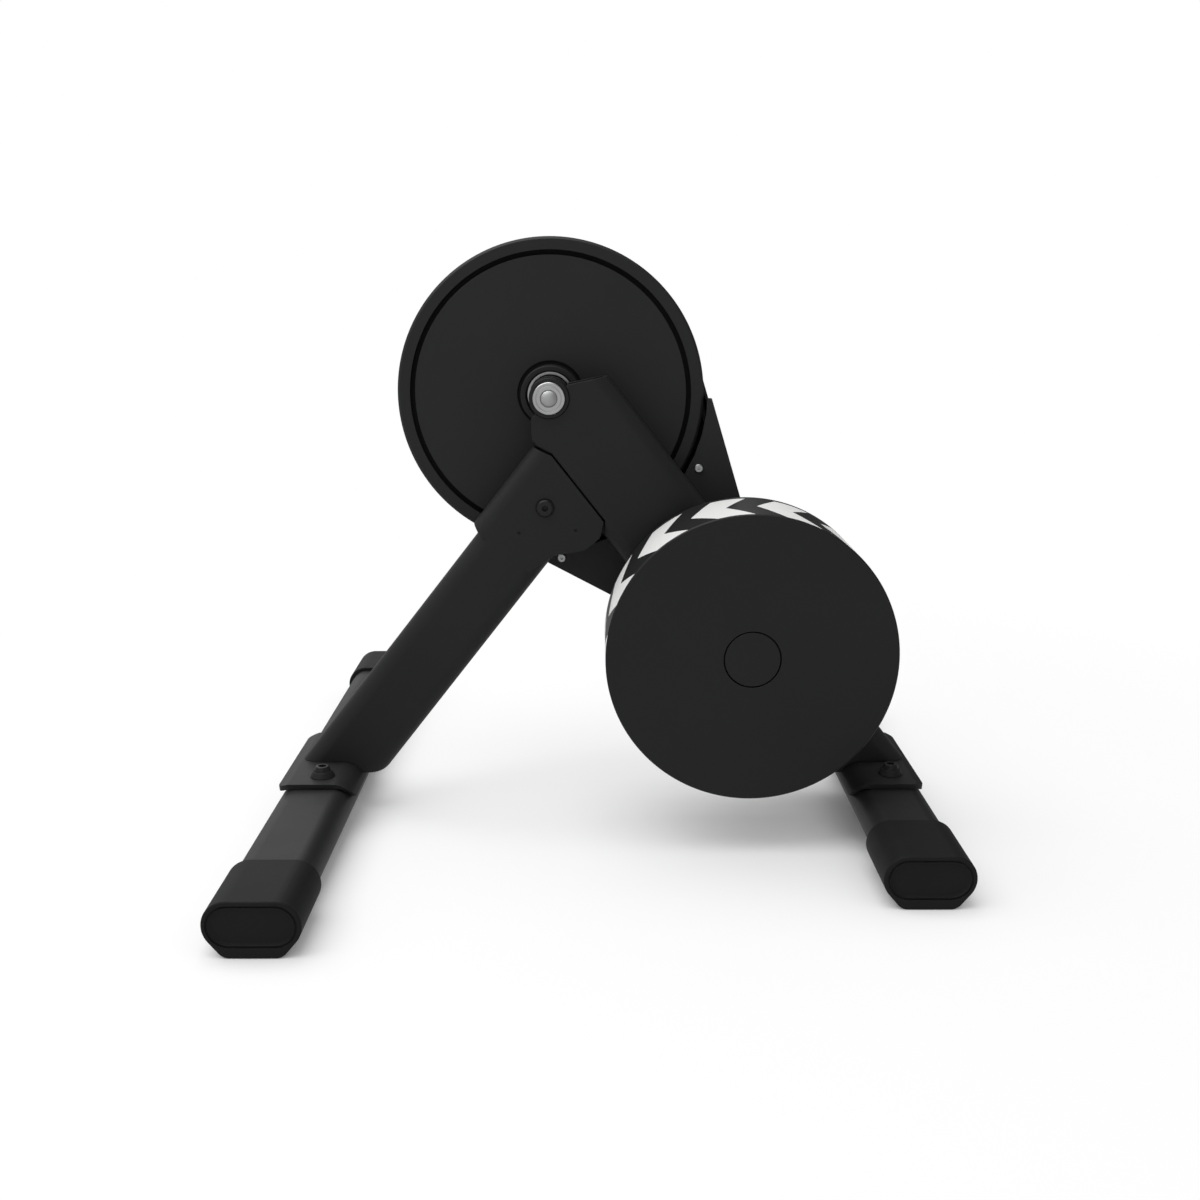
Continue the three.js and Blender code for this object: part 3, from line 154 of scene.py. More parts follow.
class Form:
    """A solid in the making, in millimetres, which bmesh operators shape."""

    def __init__(self) -> None:
        """Starts with nothing."""
        self.mesh = bmesh.new()

    @classmethod
    def of_node(cls, node: str) -> "Form":
        """Returns a merged copy of a CAD node, with its flat triangles joined."""
        form = cls()
        mesh = form.mesh
        mesh.from_mesh(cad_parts[node].data)
        bmesh.ops.scale(mesh, vec=(1 / MM,) * 3, verts=mesh.verts)
        bmesh.ops.remove_doubles(mesh, verts=mesh.verts, dist=WELD)
        bmesh.ops.dissolve_limit(mesh, angle_limit=FLAT_ANGLE, verts=mesh.verts, edges=mesh.edges)
        return form

    @classmethod
    def flat(cls, path: Path) -> "Form":
        """Returns one flat face in a form's own first two axes.

        Args:
            path: The outline's corners and arcs, starting with a corner.

        Returns:
            The form, with its soft corners rounded.
        """
        form = cls()
        mesh = form.mesh
        soft: list[tuple[bmesh.types.BMVert, float]] = []
        first = last = mesh.verts.new((path[0].u, path[0].v, 0))
        for step in path:
            if isinstance(step, Turn):
                steps = max(2, math.ceil(abs(step.angle) / ARC_STEP))
                spun = bmesh.ops.spin(
                    mesh, geom=[last], cent=(step.u, step.v, 0), axis=(0, 0, 1),
                    angle=step.angle, steps=steps,
                )
                last = next(v for v in spun["geom_last"] if isinstance(v, bmesh.types.BMVert))
                continue
            if step is not path[0]:
                fresh = mesh.verts.new((step.u, step.v, 0))
                mesh.edges.new((last, fresh))
                last = fresh
            if step.soft:
                soft.append((last, step.soft))
        mesh.edges.new((last, first))
        bmesh.ops.remove_doubles(mesh, verts=mesh.verts, dist=WELD)
        bmesh.ops.edgeloop_fill(mesh, edges=mesh.edges)
        for vert, radius in soft:
            form.round_corner(vert, radius)
        return form

    def round_corner(self, vert: bmesh.types.BMVert, radius: float) -> None:
        """Rounds one corner of a flat face by a radius."""
        ways = [(edge.other_vert(vert).co - vert.co).normalized() for edge in vert.link_edges]
        half = ways[0].angle(ways[1]) / 2
        bmesh.ops.bevel(
            self.mesh, geom=[vert], offset=radius / math.tan(half), offset_type="OFFSET",
            segments=CORNER_STEPS, profile=0.5, affect="VERTICES", material=-1,
            clamp_overlap=True,
        )

    @classmethod
    def prism(cls, path: Path, low: float, high: float, plane: Plane = Plane.SIDE) -> "Form":
        """Returns an outline carried from one place to another along its plane's third axis.

        Args:
            path: The outline.
            low: The lower end, in the world's coordinate along that axis.
            high: The higher end.
            plane: The plane that the outline is drawn in.

        Returns:
            The closed form, in place.
        """
        return cls.flat(path).pull(low, high, plane)

    @classmethod
    def tube(cls, path: Path, wall: float, low: float, high: float, plane: Plane) -> "Form":
        """Returns a hollow bar of an outline's section.

        Args:
            path: The outline of the outside.
            wall: The thickness of the wall.
            low: The lower end.
            high: The higher end.
            plane: The plane that the outline is drawn in.

        Returns:
            The open tube, in place.
        """
        form = cls.flat(path)
        core = form.mesh.faces[:]
        bmesh.ops.inset_region(
            form.mesh, faces=core, thickness=wall, use_even_offset=True, use_boundary=True,
        )
        bmesh.ops.delete(form.mesh, geom=core, context="FACES")
        return form.pull(low, high, plane)

    def pull(self, low: float, high: float, plane: Plane) -> "Form":
        """Extrudes the form's flat faces into a closed solid.

        Args:
            low: The lower end.
            high: The higher end.
            plane: The plane that the faces are drawn in.

        Returns:
            This form, in place.
        """
        mesh = self.mesh
        made = bmesh.ops.extrude_face_region(mesh, geom=mesh.faces[:], use_keep_orig=True)
        ends = [item for item in made["geom"] if isinstance(item, bmesh.types.BMVert)]
        bmesh.ops.translate(mesh, vec=(0, 0, high - low), verts=ends)
        bmesh.ops.recalc_face_normals(mesh, faces=mesh.faces)
        start = -high if plane is Plane.SIDE else low
        return self.move(plane.matrix() @ Matrix.Translation((0, 0, start)))

    @classmethod
    def turned(
        cls, profile: Profile, centre: Place, steps: int = SMALL_STEPS, soft: float = 0.3,
        plane: Plane = Plane.SPINDLE,
    ) -> "Form":
        """Returns a profile spun right round an axis.

        Args:
            profile: Corners as radius and place along the axis, all the way round the section.
            centre: Where the axis crosses the other two world coordinates.
            steps: Steps of the full turn.
            soft: The radius that rounds the profile's corners.
            plane: SPINDLE turns about Y, TOP about Z.

        Returns:
            The closed form, in place.
        """
        form = cls()
        mesh = form.mesh
        mesh.faces.new([mesh.verts.new((radius, 0, place)) for radius, place in profile])
        if soft:
            bmesh.ops.bevel(
                mesh, geom=[v for v in mesh.verts if v.co.x > WELD], offset=soft,
                offset_type="OFFSET", segments=2, profile=0.5, affect="VERTICES", material=-1,
                clamp_overlap=True,
            )
        bmesh.ops.delete(mesh, geom=mesh.faces[:], context="FACES_ONLY")
        inner = [e for e in mesh.edges if max(v.co.x for v in e.verts) < WELD]
        bmesh.ops.delete(mesh, geom=inner, context="EDGES")
        bmesh.ops.spin(
            mesh, geom=mesh.verts[:] + mesh.edges[:], cent=(0, 0, 0), axis=(0, 0, 1),
            angle=2 * math.pi, steps=steps, use_merge=True,
        )
        bmesh.ops.remove_doubles(mesh, verts=mesh.verts, dist=WELD)
        bmesh.ops.recalc_face_normals(mesh, faces=mesh.faces)
        return form.move(plane.about(centre))

    @classmethod
    def rod(
        cls, radius: float, low: float, high: float, centre: Place, sides: int = SMALL_STEPS,
        plane: Plane = Plane.SPINDLE,
    ) -> "Form":
        """Returns a round or many-sided rod.

        Args:
            radius: Its radius to the corners.
            low: Its lower end along the axis.
            high: Its higher end.
            centre: Where the axis crosses the other two world coordinates.
            sides: The number of its sides.
            plane: SPINDLE lays it along Y, TOP along Z.

        Returns:
            The closed form, in place.
        """
        form = cls()
        bmesh.ops.create_cone(
            form.mesh, cap_ends=True, segments=sides, radius1=radius, radius2=radius,
            depth=high - low, matrix=Matrix.Translation((0, 0, (low + high) / 2)),
        )
        return form.move(plane.about(centre))

    def move(self, matrix: Matrix) -> "Form":
        """Moves the whole form by a matrix and returns it."""
        bmesh.ops.transform(self.mesh, matrix=matrix, verts=self.mesh.verts)
        return self

    def cut(self, tool: "Form", kind: Cut = Cut.AWAY) -> "Form":
        """Cuts the form with another.

        Args:
            tool: The form that cuts.
            kind: Whether what the tool covers goes or stays.

        Returns:
            This form, cut.
        """
        body, cutter = self.scratch("body"), tool.scratch("tool")
        modifier = body.modifiers.new("cut", "BOOLEAN")
        modifier.object = cutter
        modifier.operation = kind.value
        modifier.solver = "EXACT"
        graph = bpy.context.evaluated_depsgraph_get()
        made = bpy.data.meshes.new_from_object(body.evaluated_get(graph))
        self.mesh.clear()
        self.mesh.from_mesh(made)
        bmesh.ops.remove_doubles(self.mesh, verts=self.mesh.verts, dist=WELD)
        bmesh.ops.dissolve_limit(
            self.mesh, angle_limit=FLAT_ANGLE, verts=self.mesh.verts, edges=self.mesh.edges,
        )
        for item in (body, cutter):
            data = item.data
            bpy.data.objects.remove(item)
            bpy.data.meshes.remove(data)
        bpy.data.meshes.remove(made)
        return self

    def dish(self, y: float, slope: float, depth: float) -> "Form":
        """Sinks the largest face at a place along Y, with a slope round it.

        Args:
            y: The face's place.
            slope: The slope's width.
            depth: How far its middle moves along its normal.

        Returns:
            This form.
        """
        flat = [
            face for face in self.mesh.faces
            if max(abs(vert.co.y - y) for vert in face.verts) < WELD
        ]
        largest = max(flat, key=lambda face: face.calc_area())
        bmesh.ops.inset_region(
            self.mesh, faces=[largest], thickness=slope, depth=depth, use_even_offset=True,
            use_boundary=True,
        )
        return self

    def split(self, x: float) -> None:
        """Cuts edges into the form where it crosses a place along X."""
        mesh = self.mesh
        bmesh.ops.bisect_plane(
            mesh, geom=mesh.verts[:] + mesh.edges[:] + mesh.faces[:], dist=WELD,
            plane_co=(x, 0, 0), plane_no=(1, 0, 0),
        )

    def scratch(self, name: str) -> bpy.types.Object:
        """Returns a working object of the form."""
        data = bpy.data.meshes.new(name)
        self.mesh.to_mesh(data)
        made = bpy.data.objects.new(name, data)
        bpy.context.scene.collection.objects.link(made)
        return made

    def soften(
        self, width: float, segments: int = 2, angle: float = HARD_ANGLE,
        where: Callable[[Vector], bool] = lambda middle: True,
    ) -> "Form":
        """Rounds the form's hard edges.

        Args:
            width: How far the rounding reaches from an edge.
            segments: Its steps.
            angle: The least angle of an edge that is rounded.
            where: Says from an edge's middle whether it is rounded.

        Returns:
            This form.
        """
        edges = [
            edge for edge in self.mesh.edges
            if len(edge.link_faces) == 2 and edge.calc_face_angle(0) > angle
            and where((edge.verts[0].co + edge.verts[1].co) / 2)
        ]
        bmesh.ops.bevel(
            self.mesh, geom=edges, offset=width, offset_type="OFFSET", segments=segments,
            profile=0.5, affect="EDGES", material=-1, clamp_overlap=True, miter_outer="ARC",
        )
        return self

    def piece(
        self, name: str, finish: "Finish", *nodes: str, body: str = "frame", slot: str = "",
    ) -> None:
        """Finishes the form as a piece of the object, at the origin.

        Args:
            name: The piece's name.
            finish: What its surface is like.
            nodes: The CAD nodes that it stands for.
            body: The CAD body that it rides on.
            slot: The record's material slot, where it isn't the finish's own. Not used.
        """
        bmesh.ops.scale(self.mesh, vec=(MM,) * 3, verts=self.mesh.verts)
        data = bpy.data.meshes.new(name)
        self.mesh.to_mesh(data)
        self.mesh.free()
        if spare := data.attributes.get("custom_normal"):
            data.attributes.remove(spare)
        data.shade_smooth()
        data.set_sharp_from_angle(angle=SHARP_ANGLE)
        data.materials.clear()
        data.materials.append(finish.material())
        made = bpy.data.objects.new(name, data)
        bpy.context.scene.collection.objects.link(made)
        even = made.modifiers.new("even_normals", "WEIGHTED_NORMAL")
        even.keep_sharp = True
        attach(made, body)
        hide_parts(*nodes)
        LOG.info("%s: %d faces on %s", name, len(data.polygons), body)


# Surfaces


class Value:
    """A number that varies over a surface, on which Python's operators do maths."""

    def __init__(self, surface: "Nodes", socket: bpy.types.NodeSocket) -> None:
        """Wraps a node's output."""
        self.surface = surface
        self.socket = socket

    def _with(self, operation: str, *values: "Value | float") -> "Value":
        """Returns a Math node's result."""
        return self.surface.math(operation, *values)

    def __add__(self, other: "Value | float") -> "Value":
        """Adds."""
        return self._with("ADD", self, other)

    def __sub__(self, other: "Value | float") -> "Value":
        """Takes away."""
        return self._with("SUBTRACT", self, other)

    def __rsub__(self, other: "Value | float") -> "Value":
        """Takes this away from a number."""
        return self._with("SUBTRACT", other, self)

    def __mul__(self, other: "Value | float") -> "Value":
        """Multiplies."""
        return self._with("MULTIPLY", self, other)

    def __truediv__(self, other: "Value | float") -> "Value":
        """Divides."""
        return self._with("DIVIDE", self, other)

    def __pow__(self, power: float) -> "Value":
        """Raises to a power."""
        return self._with("POWER", self, power)

    def __abs__(self) -> "Value":
        """Drops the sign."""
        return self._with("ABSOLUTE", self)

    __radd__ = __add__
    __rmul__ = __mul__

    def over(self, limit: float) -> "Value":
        """Returns 1 where this is more than a limit."""
        return self._with("GREATER_THAN", self, limit)

    def under(self, limit: float) -> "Value":
        """Returns 1 where this is less than a limit."""
        return self._with("LESS_THAN", self, limit)

    def between(self, low: float, high: float) -> "Value":
        """Returns 1 between two limits."""
        return self.over(low) * self.under(high)

    def part(self) -> "Value":
        """Returns the part after the decimal point."""
        return self._with("FRACT", self)

    def sine(self) -> "Value":
        """Returns the sine of an angle in radians."""
        return self._with("SINE", self)

    def ramp(self, low: float, high: float) -> "Value":
        """Returns a smooth rise from 0 at one value to 1 at another."""
        return self.surface.node(
            "ShaderNodeMapRange", {"interpolation_type": "SMOOTHSTEP"},
            {"Value": self, "From Min": low, "From Max": high},
        )


class Nodes:
    """A tree of shader nodes that ends in one output."""

    def __init__(self, tree: bpy.types.NodeTree, output: str) -> None:
        """Clears a tree and gives it an output of its own."""
        self.tree = tree
        tree.nodes.clear()
        self.output = tree.nodes.new(output)

    def node(
        self, kind: str, settings: Mapping[str, object] | None = None,
        sockets: Mapping[int | str, object] | None = None, out: int | str = 0,
    ) -> Value:
        """Adds a node.

        Args:
            kind: The node's type.
            settings: Its properties, which are set first.
            sockets: What its inputs hold: numbers, colours or other nodes' values.
            out: The output that is handed back.

        Returns:
            That output.
        """
        made = self.tree.nodes.new(kind)
        for key, value in (settings or {}).items():
            setattr(made, key, value)
        for key, value in (sockets or {}).items():
            self.feed(made.inputs[key], value)
        return Value(self, made.outputs[out])

    def feed(self, socket: bpy.types.NodeSocket, value: object) -> None:
        """Links a value to a socket, or sets the socket to a number or colour."""
        if isinstance(value, Value):
            self.tree.links.new(value.socket, socket)
        else:
            socket.default_value = value

    def math(self, operation: str, *values: Value | float) -> Value:
        """Returns a Math node's result."""
        return self.node("ShaderNodeMath", {"operation": operation}, dict(enumerate(values)))

    def axis(self, point: Value, name: str, unit: float = MM) -> Value:
        """Returns one coordinate of a point, in millimetres unless another unit is given."""
        return self.node("ShaderNodeSeparateXYZ", {}, {0: point}, out=name) / unit

    def seen(self) -> Value:
        """Returns 1 for rays that show a thing itself, straight on, in gloss or through glass."""
        kinds = [
            self.node("ShaderNodeLightPath", out=name)
            for name in ("Is Camera Ray", "Is Glossy Ray", "Is Transmission Ray")
        ]
        return self.math("MAXIMUM", self.math("MAXIMUM", kinds[0], kinds[1]), kinds[2])


class Surface(Nodes):
    """One material's nodes."""

    line_detail = 3.0
    edge_samples = 4
    edge_turn = (0.01, 0.2)

    def __init__(self, name: str) -> None:
        """Starts a material with a shader."""
        self.material = bpy.data.materials.new(name)
        self.material.use_nodes = True
        super().__init__(self.material.node_tree, "ShaderNodeOutputMaterial")
        self.shader = self.tree.nodes.new("ShaderNodeBsdfPrincipled")
        self.feed(self.output.inputs["Surface"], Value(self, self.shader.outputs["BSDF"]))

    @cached_property
    def place(self) -> Value:
        """The point on the piece, in metres."""
        return self.node("ShaderNodeTexCoord", out="Object")

    def centred(self, x: float, z: float) -> Value:
        """Returns the point, in metres, as seen from a centre in the side view."""
        return self.node(
            "ShaderNodeMapping", {"vector_type": "TEXTURE"},
            {"Vector": self.place, "Location": (x * MM, 0, z * MM)},
        )

    def radius(self, x: float, z: float) -> Value:
        """Returns the distance from an axis along Y, in millimetres."""
        point = self.centred(x, z)
        across, up = self.axis(point, "X"), self.axis(point, "Z")
        return (across * across + up * up) ** 0.5

    def noise(self, size: float, detail: float = 2.0) -> Value:
        """Returns soft noise from 0 to 1, its largest features of a size in millimetres."""
        return self.node(
            "ShaderNodeTexNoise", {},
            {"Vector": self.place, "Scale": 1 / (size * MM), "Detail": detail},
        )

    def lines(self, along: Value, size: float) -> Value:
        """Returns noise that varies only with one coordinate in millimetres."""
        return self.node(
            "ShaderNodeTexNoise", {"noise_dimensions": "1D"},
            {"W": along / size, "Scale": 1.0, "Detail": self.line_detail},
        )

    def pits(self, size: float) -> Value:
        """Returns small cells that are deepest at their middle, from 0 to 1."""
        return self.node(
            "ShaderNodeTexVoronoi", {}, {"Vector": self.place, "Scale": 1 / (size * MM)},
        )

    def waves(self, pitch: float) -> Value:
        """Returns waves along Y, from 0 to 1."""
        return (self.axis(self.place, "Y") * (2 * math.pi / pitch)).sine() * 0.5 + 0.5

    def edge(self, width: float) -> Value:
        """Returns a mask of the piece's edges, from 0 on open faces to 1."""
        eased = self.node("ShaderNodeBevel", {"samples": self.edge_samples}, {"Radius": width * MM})
        normal = self.node("ShaderNodeNewGeometry", out="Normal")
        facing = self.node(
            "ShaderNodeVectorMath", {"operation": "DOT_PRODUCT"}, {0: eased, 1: normal},
            out="Value",
        )
        return (1 - facing).ramp(*self.edge_turn)

    def mix(self, share: Value | float, first: object, second: object) -> Value:
        """Mixes two colours.

        Args:
            share: How much of the second there is.
            first: A colour, or a value that holds one.
            second: Another.

        Returns:
            The mixed colour.
        """
        def solid(color: object) -> object:
            """Adds the alpha to a plain colour."""
            return color if isinstance(color, Value) else (*color, 1.0)

        return self.node(
            "ShaderNodeMix", {"data_type": "RGBA"},
            {0: share, 6: solid(first), 7: solid(second)}, out=2,
        )


def scaled(color: Color, share: float) -> Color:
    """Returns a lighter or darker colour."""
    red, green, blue = color
    return (red * share, green * share, blue * share)


@dataclass(frozen=True)
class Finish:
    """What a surface is made of. Sizes are in millimetres."""

    name: str
    slot: str
    color: Color
    roughness: float
    metallic: float = 0.0
    specular: float = 0.5
    coat: float = 0.0
    coat_roughness: float = 0.3
    mottle: float = 0.1
    mottle_size: float = 60.0
    grain: float = 0.6
    fine_share: float = 0.6
    relief: float = 0.012
    # Paler edges in patches: partly wear and partly a painted highlight along the edges.
    wear_and_highlight: float = 0.0
    wear_and_highlight_color: Color = (0.16, 0.16, 0.165)
    wear_and_highlight_width: float = 0.7
    wear_and_highlight_size: float = 9.0
    wear_and_highlight_turn: Place = (0.35, 0.75)
    unevenness: float = 0.06

    @cache
    def material(self) -> bpy.types.Material:
        """Builds the material, once."""
        surface = Surface(self.name)
        shader = surface.shader.inputs
        shader["Metallic"].default_value = self.metallic
        shader["Specular IOR Level"].default_value = self.specular
        shader["Coat Weight"].default_value = self.coat
        shader["Coat Roughness"].default_value = self.coat_roughness
        surface.feed(shader["Base Color"], self.tint(surface))
        surface.feed(shader["Roughness"], self.gloss(surface))
        bump = surface.node(
            "ShaderNodeBump", {},
            {"Strength": 1.0, "Distance": self.relief * MM, "Height": self.height(surface)},
        )
        surface.feed(shader["Normal"], bump)
        return surface.material

    def tint(self, surface: Surface) -> Value:
        """Returns the colour: a soft mottle, and paler edges in patches, partly wear and partly a
        painted highlight.
        """
        color = surface.mix(
            surface.noise(self.mottle_size, 4.0),
            scaled(self.color, 1 - self.mottle), scaled(self.color, 1 + self.mottle),
        )
        if not self.wear_and_highlight:
            return color
        patches = surface.noise(self.wear_and_highlight_size, 3.0).ramp(*self.wear_and_highlight_turn)
        worn_and_highlit = surface.edge(self.wear_and_highlight_width) * patches * self.wear_and_highlight
        return surface.mix(worn_and_highlit, color, self.wear_and_highlight_color)

    def gloss(self, surface: Surface) -> Value:
        """Returns the roughness, which varies a little over the surface."""
        return surface.noise(self.mottle_size / 3, 3.0) * self.unevenness + (
            self.roughness - self.unevenness / 2
        )

    def height(self, surface: Surface) -> Value:
        """Returns the relief of the grain, from 0 to 1."""
        fine, coarse = surface.noise(self.grain), surface.noise(4 * self.grain)
        return fine * self.fine_share + coarse * (1 - self.fine_share)


@dataclass(frozen=True)
class Moulded(Finish):
    """Moulded plastic or rubber with a fine spark-eroded grain."""

    fine_share: float = 0.7

    def height(self, surface: Surface) -> Value:
        """Returns the grain's small pits over a soft wave."""
        fine, coarse = surface.pits(self.grain), surface.noise(12 * self.grain)
        return fine * self.fine_share + coarse * (1 - self.fine_share)


@dataclass(frozen=True)
class Turned(Finish):
    """Metal or paint over metal that was turned on a lathe, with rings round its own axis."""

    centre: Place = (0.0, 0.0)
    ring: float = 0.5
    ring_share: float = 0.5
    ring_light: float = 1.3
    rim_share: float = 0.73

    def rings(self, surface: Surface) -> Value:
        """Returns fine rings round the axis on faces, and fine lines along it on rims."""
        radius = surface.radius(*self.centre)
        along = surface.axis(surface.place, "Y")
        return surface.lines(radius + along * self.rim_share, self.ring)

    def tint(self, surface: Surface) -> Value:
        """Returns the colour, a little lighter and darker from ring to ring."""
        light = scaled(self.color, self.ring_light)
        return surface.mix(self.rings(surface) * self.mottle, super().tint(surface), light)

    def gloss(self, surface: Surface) -> Value:
        """Returns the roughness, which changes from ring to ring."""
        return super().gloss(surface) + (self.rings(surface) - 0.5) * self.unevenness

    def height(self, surface: Surface) -> Value:
        """Returns the rings' relief over the grain."""
        grain = super().height(surface) * (1 - self.ring_share)
        return self.rings(surface) * self.ring_share + grain


@dataclass(frozen=True)
class Dulled(Turned):
    """A turned surface that is left dull inside a radius."""

    dull_radius: float = 6.2
    dull: float = 0.24

    def gloss(self, surface: Surface) -> Value:
        """Returns the roughness, higher in the middle."""
        middle = surface.radius(*self.centre).under(self.dull_radius)
        return super().gloss(surface) + middle * self.dull


@dataclass(frozen=True)
class ShadeRinged(Turned):
    """A turned surface with rings painted dark as shade in its grooves."""

    painted_shade_rings: tuple[Place, ...] = ()
    painted_shade_color: Color = (0.005, 0.005, 0.0052)
    painted_shade_dull: float = 0.4

    def sunk(self, surface: Surface) -> Value:
        """Returns a mask of the rings of painted shade."""
        radius = surface.radius(*self.centre)
        masks = [radius.between(*ends) for ends in self.painted_shade_rings]
        return sum(masks[1:], masks[0])

    def tint(self, surface: Surface) -> Value:
        """Returns the colour, with shade painted dark in the rings."""
        return surface.mix(self.sunk(surface), super().tint(surface), self.painted_shade_color)

    def gloss(self, surface: Surface) -> Value:
        """Returns the roughness, dull in the rings of painted shade."""
        return super().gloss(surface) + self.sunk(surface) * self.painted_shade_dull


@dataclass(frozen=True)
class Striped(Turned):
    """Satin paint on a wheel whose rim carries a band of pale chevrons."""

    stripe: Color = (0.8, 0.8, 0.79)
    pitch: float = math.radians(26.6)
    first_tip: float = math.radians(-2.4)
    stripe_share: float = 0.541
    lean: float = math.radians(9.6)
    last_tip: float = math.radians(157.2)
    seam: float = math.radians(192)
    count: int = 13
    band: Place = (-133.0, -64.2)
    rim: float = 101.6
    slack: float = 0.002

    def tint(self, surface: Surface) -> Value:
        """Returns black paint with the chevrons on the rim."""
        return surface.mix(self.chevrons(surface), super().tint(surface), self.stripe)

    def chevrons(self, surface: Surface) -> Value:
        """Returns a mask of the chevrons, whose tips point round the wheel from the top to -X."""
        point = surface.centred(*self.centre)
        across, up = surface.axis(point, "X"), surface.axis(point, "Z")
        turned = surface.math("ARCTAN2", 0 - across, up)
        along = surface.axis(point, "Y")
        middle = sum(self.band) / 2
        reach = (self.band[1] - self.band[0]) / 2
        leaning = turned + abs(along - middle) * (self.lean / reach)
        whole = 2 * math.pi
        placed = ((leaning + self.seam) / whole).part() * whole - self.seam
        stripes = ((placed - self.first_tip) / self.pitch).part().over(1 - self.stripe_share)
        first = self.last_tip - self.count * self.pitch
        kept = placed.between(first, self.last_tip + self.slack)
        outside = surface.radius(*self.centre).over(self.rim)
        return stripes * kept * along.between(*self.band) * outside


@dataclass(frozen=True)
class Ribbed(Finish):
    """Belt rubber with ribs along the belt's run."""

    rib: float = 2.3

    def height(self, surface: Surface) -> Value:
        """Returns the ribs, side by side across the belt."""
        return surface.waves(self.rib)


@dataclass(frozen=True)
class Wound(Finish):
    """Enamelled wire, wound in layers."""

    wire: float = 1.1
    turn_share: float = 0.8
    shade: float = 0.45

    def tint(self, surface: Surface) -> Value:
        """Returns copper with shade painted dark between the turns."""
        turns = surface.waves(self.wire) * self.turn_share
        return surface.mix(turns, scaled(self.color, self.shade), super().tint(surface))


@dataclass(frozen=True)
class Printed(Finish):
    """A circuit board: solder mask over a maze of traces."""

    pitch: float = 2.6
    trace_from: float = 0.55
    trace_light: float = 2.2

    def tint(self, surface: Surface) -> Value:
        """Returns green mask, lighter over the traces."""
        cells = surface.node(
            "ShaderNodeTexVoronoi", {"distance": "MANHATTAN"},
            {"Vector": surface.place, "Scale": 1 / (self.pitch * MM)},
        )
        light = scaled(self.color, self.trace_light)
        return surface.mix(cells.over(self.trace_from), super().tint(surface), light)


# The trainer's own places, in the side view


@dataclass(frozen=True)
class Line:
    """A line in the side view, with its start and its angle."""

    x: float
    z: float
    angle: float

    def at(self, along: float, across: float = 0.0) -> Place:
        """Returns the point that lies along the line and to its left."""
        dx, dz = math.cos(self.angle), math.sin(self.angle)
        return self.x + along * dx - across * dz, self.z + along * dz + across * dx


@dataclass(frozen=True)
class Layout:
    """The places that the sub-assemblies share."""

    axle: Place = (-38.9, 315.8)
    bar_spacing: float = 423.9
    bar_middle: float = 20.7
    bar_height: float = 27.0
    saddle_top: float = 38.2
    beam_inset: float = 26.2
    axle_drop: float = 6.0
    centre_distance: float = 223.5
    frame_y: float = -34.0
    frame_thickness: float = 24.0

    @cached_property
    def beam(self) -> Line:
        """The beam's middle line, which passes above the axle."""
        reach_x = self.bar_spacing / 2 - self.beam_inset - self.axle[0]
        reach_z = self.saddle_top - self.axle[1]
        angle = math.atan2(reach_z, reach_x)
        angle -= math.asin(self.axle_drop / math.hypot(reach_x, reach_z))
        return Line(*Line(*self.axle, angle).at(0, self.axle_drop), angle)

    @cached_property
    def shaft(self) -> Place:
        """The flywheel's axis."""
        return self.beam.at(math.sqrt(self.centre_distance ** 2 - self.axle_drop ** 2))

    @property
    def frame_near(self) -> float:
        """The frame tubes' face on the flywheel's side."""
        return self.frame_y - self.frame_thickness / 2

    @property
    def frame_far(self) -> float:
        """The frame tubes' other face."""
        return self.frame_y + self.frame_thickness / 2


PLACES = Layout()

POWDER = Finish(
    "powder_coat", "frame_black", (0.0172, 0.0174, 0.0178), 0.5, specular=0.21, mottle=0.12,
    grain=0.55, relief=0.016,
    wear_and_highlight=0.2,
)
CAP_RUBBER = Moulded(
    "cap_rubber", "cap_rubber", (0.0118, 0.0118, 0.0121), 0.6, specular=0.13, mottle=0.14,
    grain=0.5, relief=0.02,
    wear_and_highlight=0.12,
)
COVER_PLASTIC = Moulded(
    "cover_plastic", "cover_plastic", (0.0155, 0.0155, 0.016), 0.58, specular=0.21, grain=0.45,
    relief=0.02, wear_and_highlight=0.15,
)
# Painted light: a lighter copy of the cover plastic, lifting the shade that the beam and the leg's
# head cast on the plate.
PLATE_PLASTIC_PAINTED_LIGHT = Moulded(
    "plate_plastic_painted_light", "cover_plastic", (0.0225, 0.0226, 0.023), 0.58, specular=0.24, grain=0.45,
    relief=0.02, wear_and_highlight=0.15,
)
# Painted shade: dark rings round the boss and in the belt groove, where shade falls.
PULLEY_PAINT = ShadeRinged(
    "pulley_paint", "pulley_black", (0.0195, 0.0197, 0.0201), 0.48, specular=0.21, relief=0.01,
    ring=0.7,
    centre=PLACES.axle, wear_and_highlight=0.25, painted_shade_rings=((22.3, 24.9), (101.8, 105.7)),
)
WHEEL_PAINT = Striped(
    "wheel_paint", "flywheel_black", (0.0148, 0.015, 0.0153), 0.46, specular=0.21, relief=0.01,
    ring=0.8,
    centre=PLACES.shaft, wear_and_highlight=0.3,
)
BLACK_OXIDE = Finish(
    "black_oxide", "bolt_black", (0.021, 0.0212, 0.022), 0.4, metallic=0.3, specular=0.26,
    grain=0.35, relief=0.008,
    mottle_size=8.0, wear_and_highlight=0.2,
)
SILVER_TURNED = Dulled(
    "silver_turned", "axle_silver", (0.64, 0.642, 0.645), 0.38, metallic=1.0, relief=0.003,
    ring=0.3, mottle=0.04,
    centre=PLACES.axle, mottle_size=15.0,
)
RACE_STEEL = Finish(
    "race_steel", "steel", (0.62, 0.62, 0.62), 0.3, metallic=1.0, grain=0.3, relief=0.002,
    mottle_size=12.0,
)
SEAL_RUBBER = Moulded(
    "seal_rubber", "bolt_black", (0.012, 0.01, 0.01), 0.55, specular=0.3, grain=0.3, relief=0.01,
)
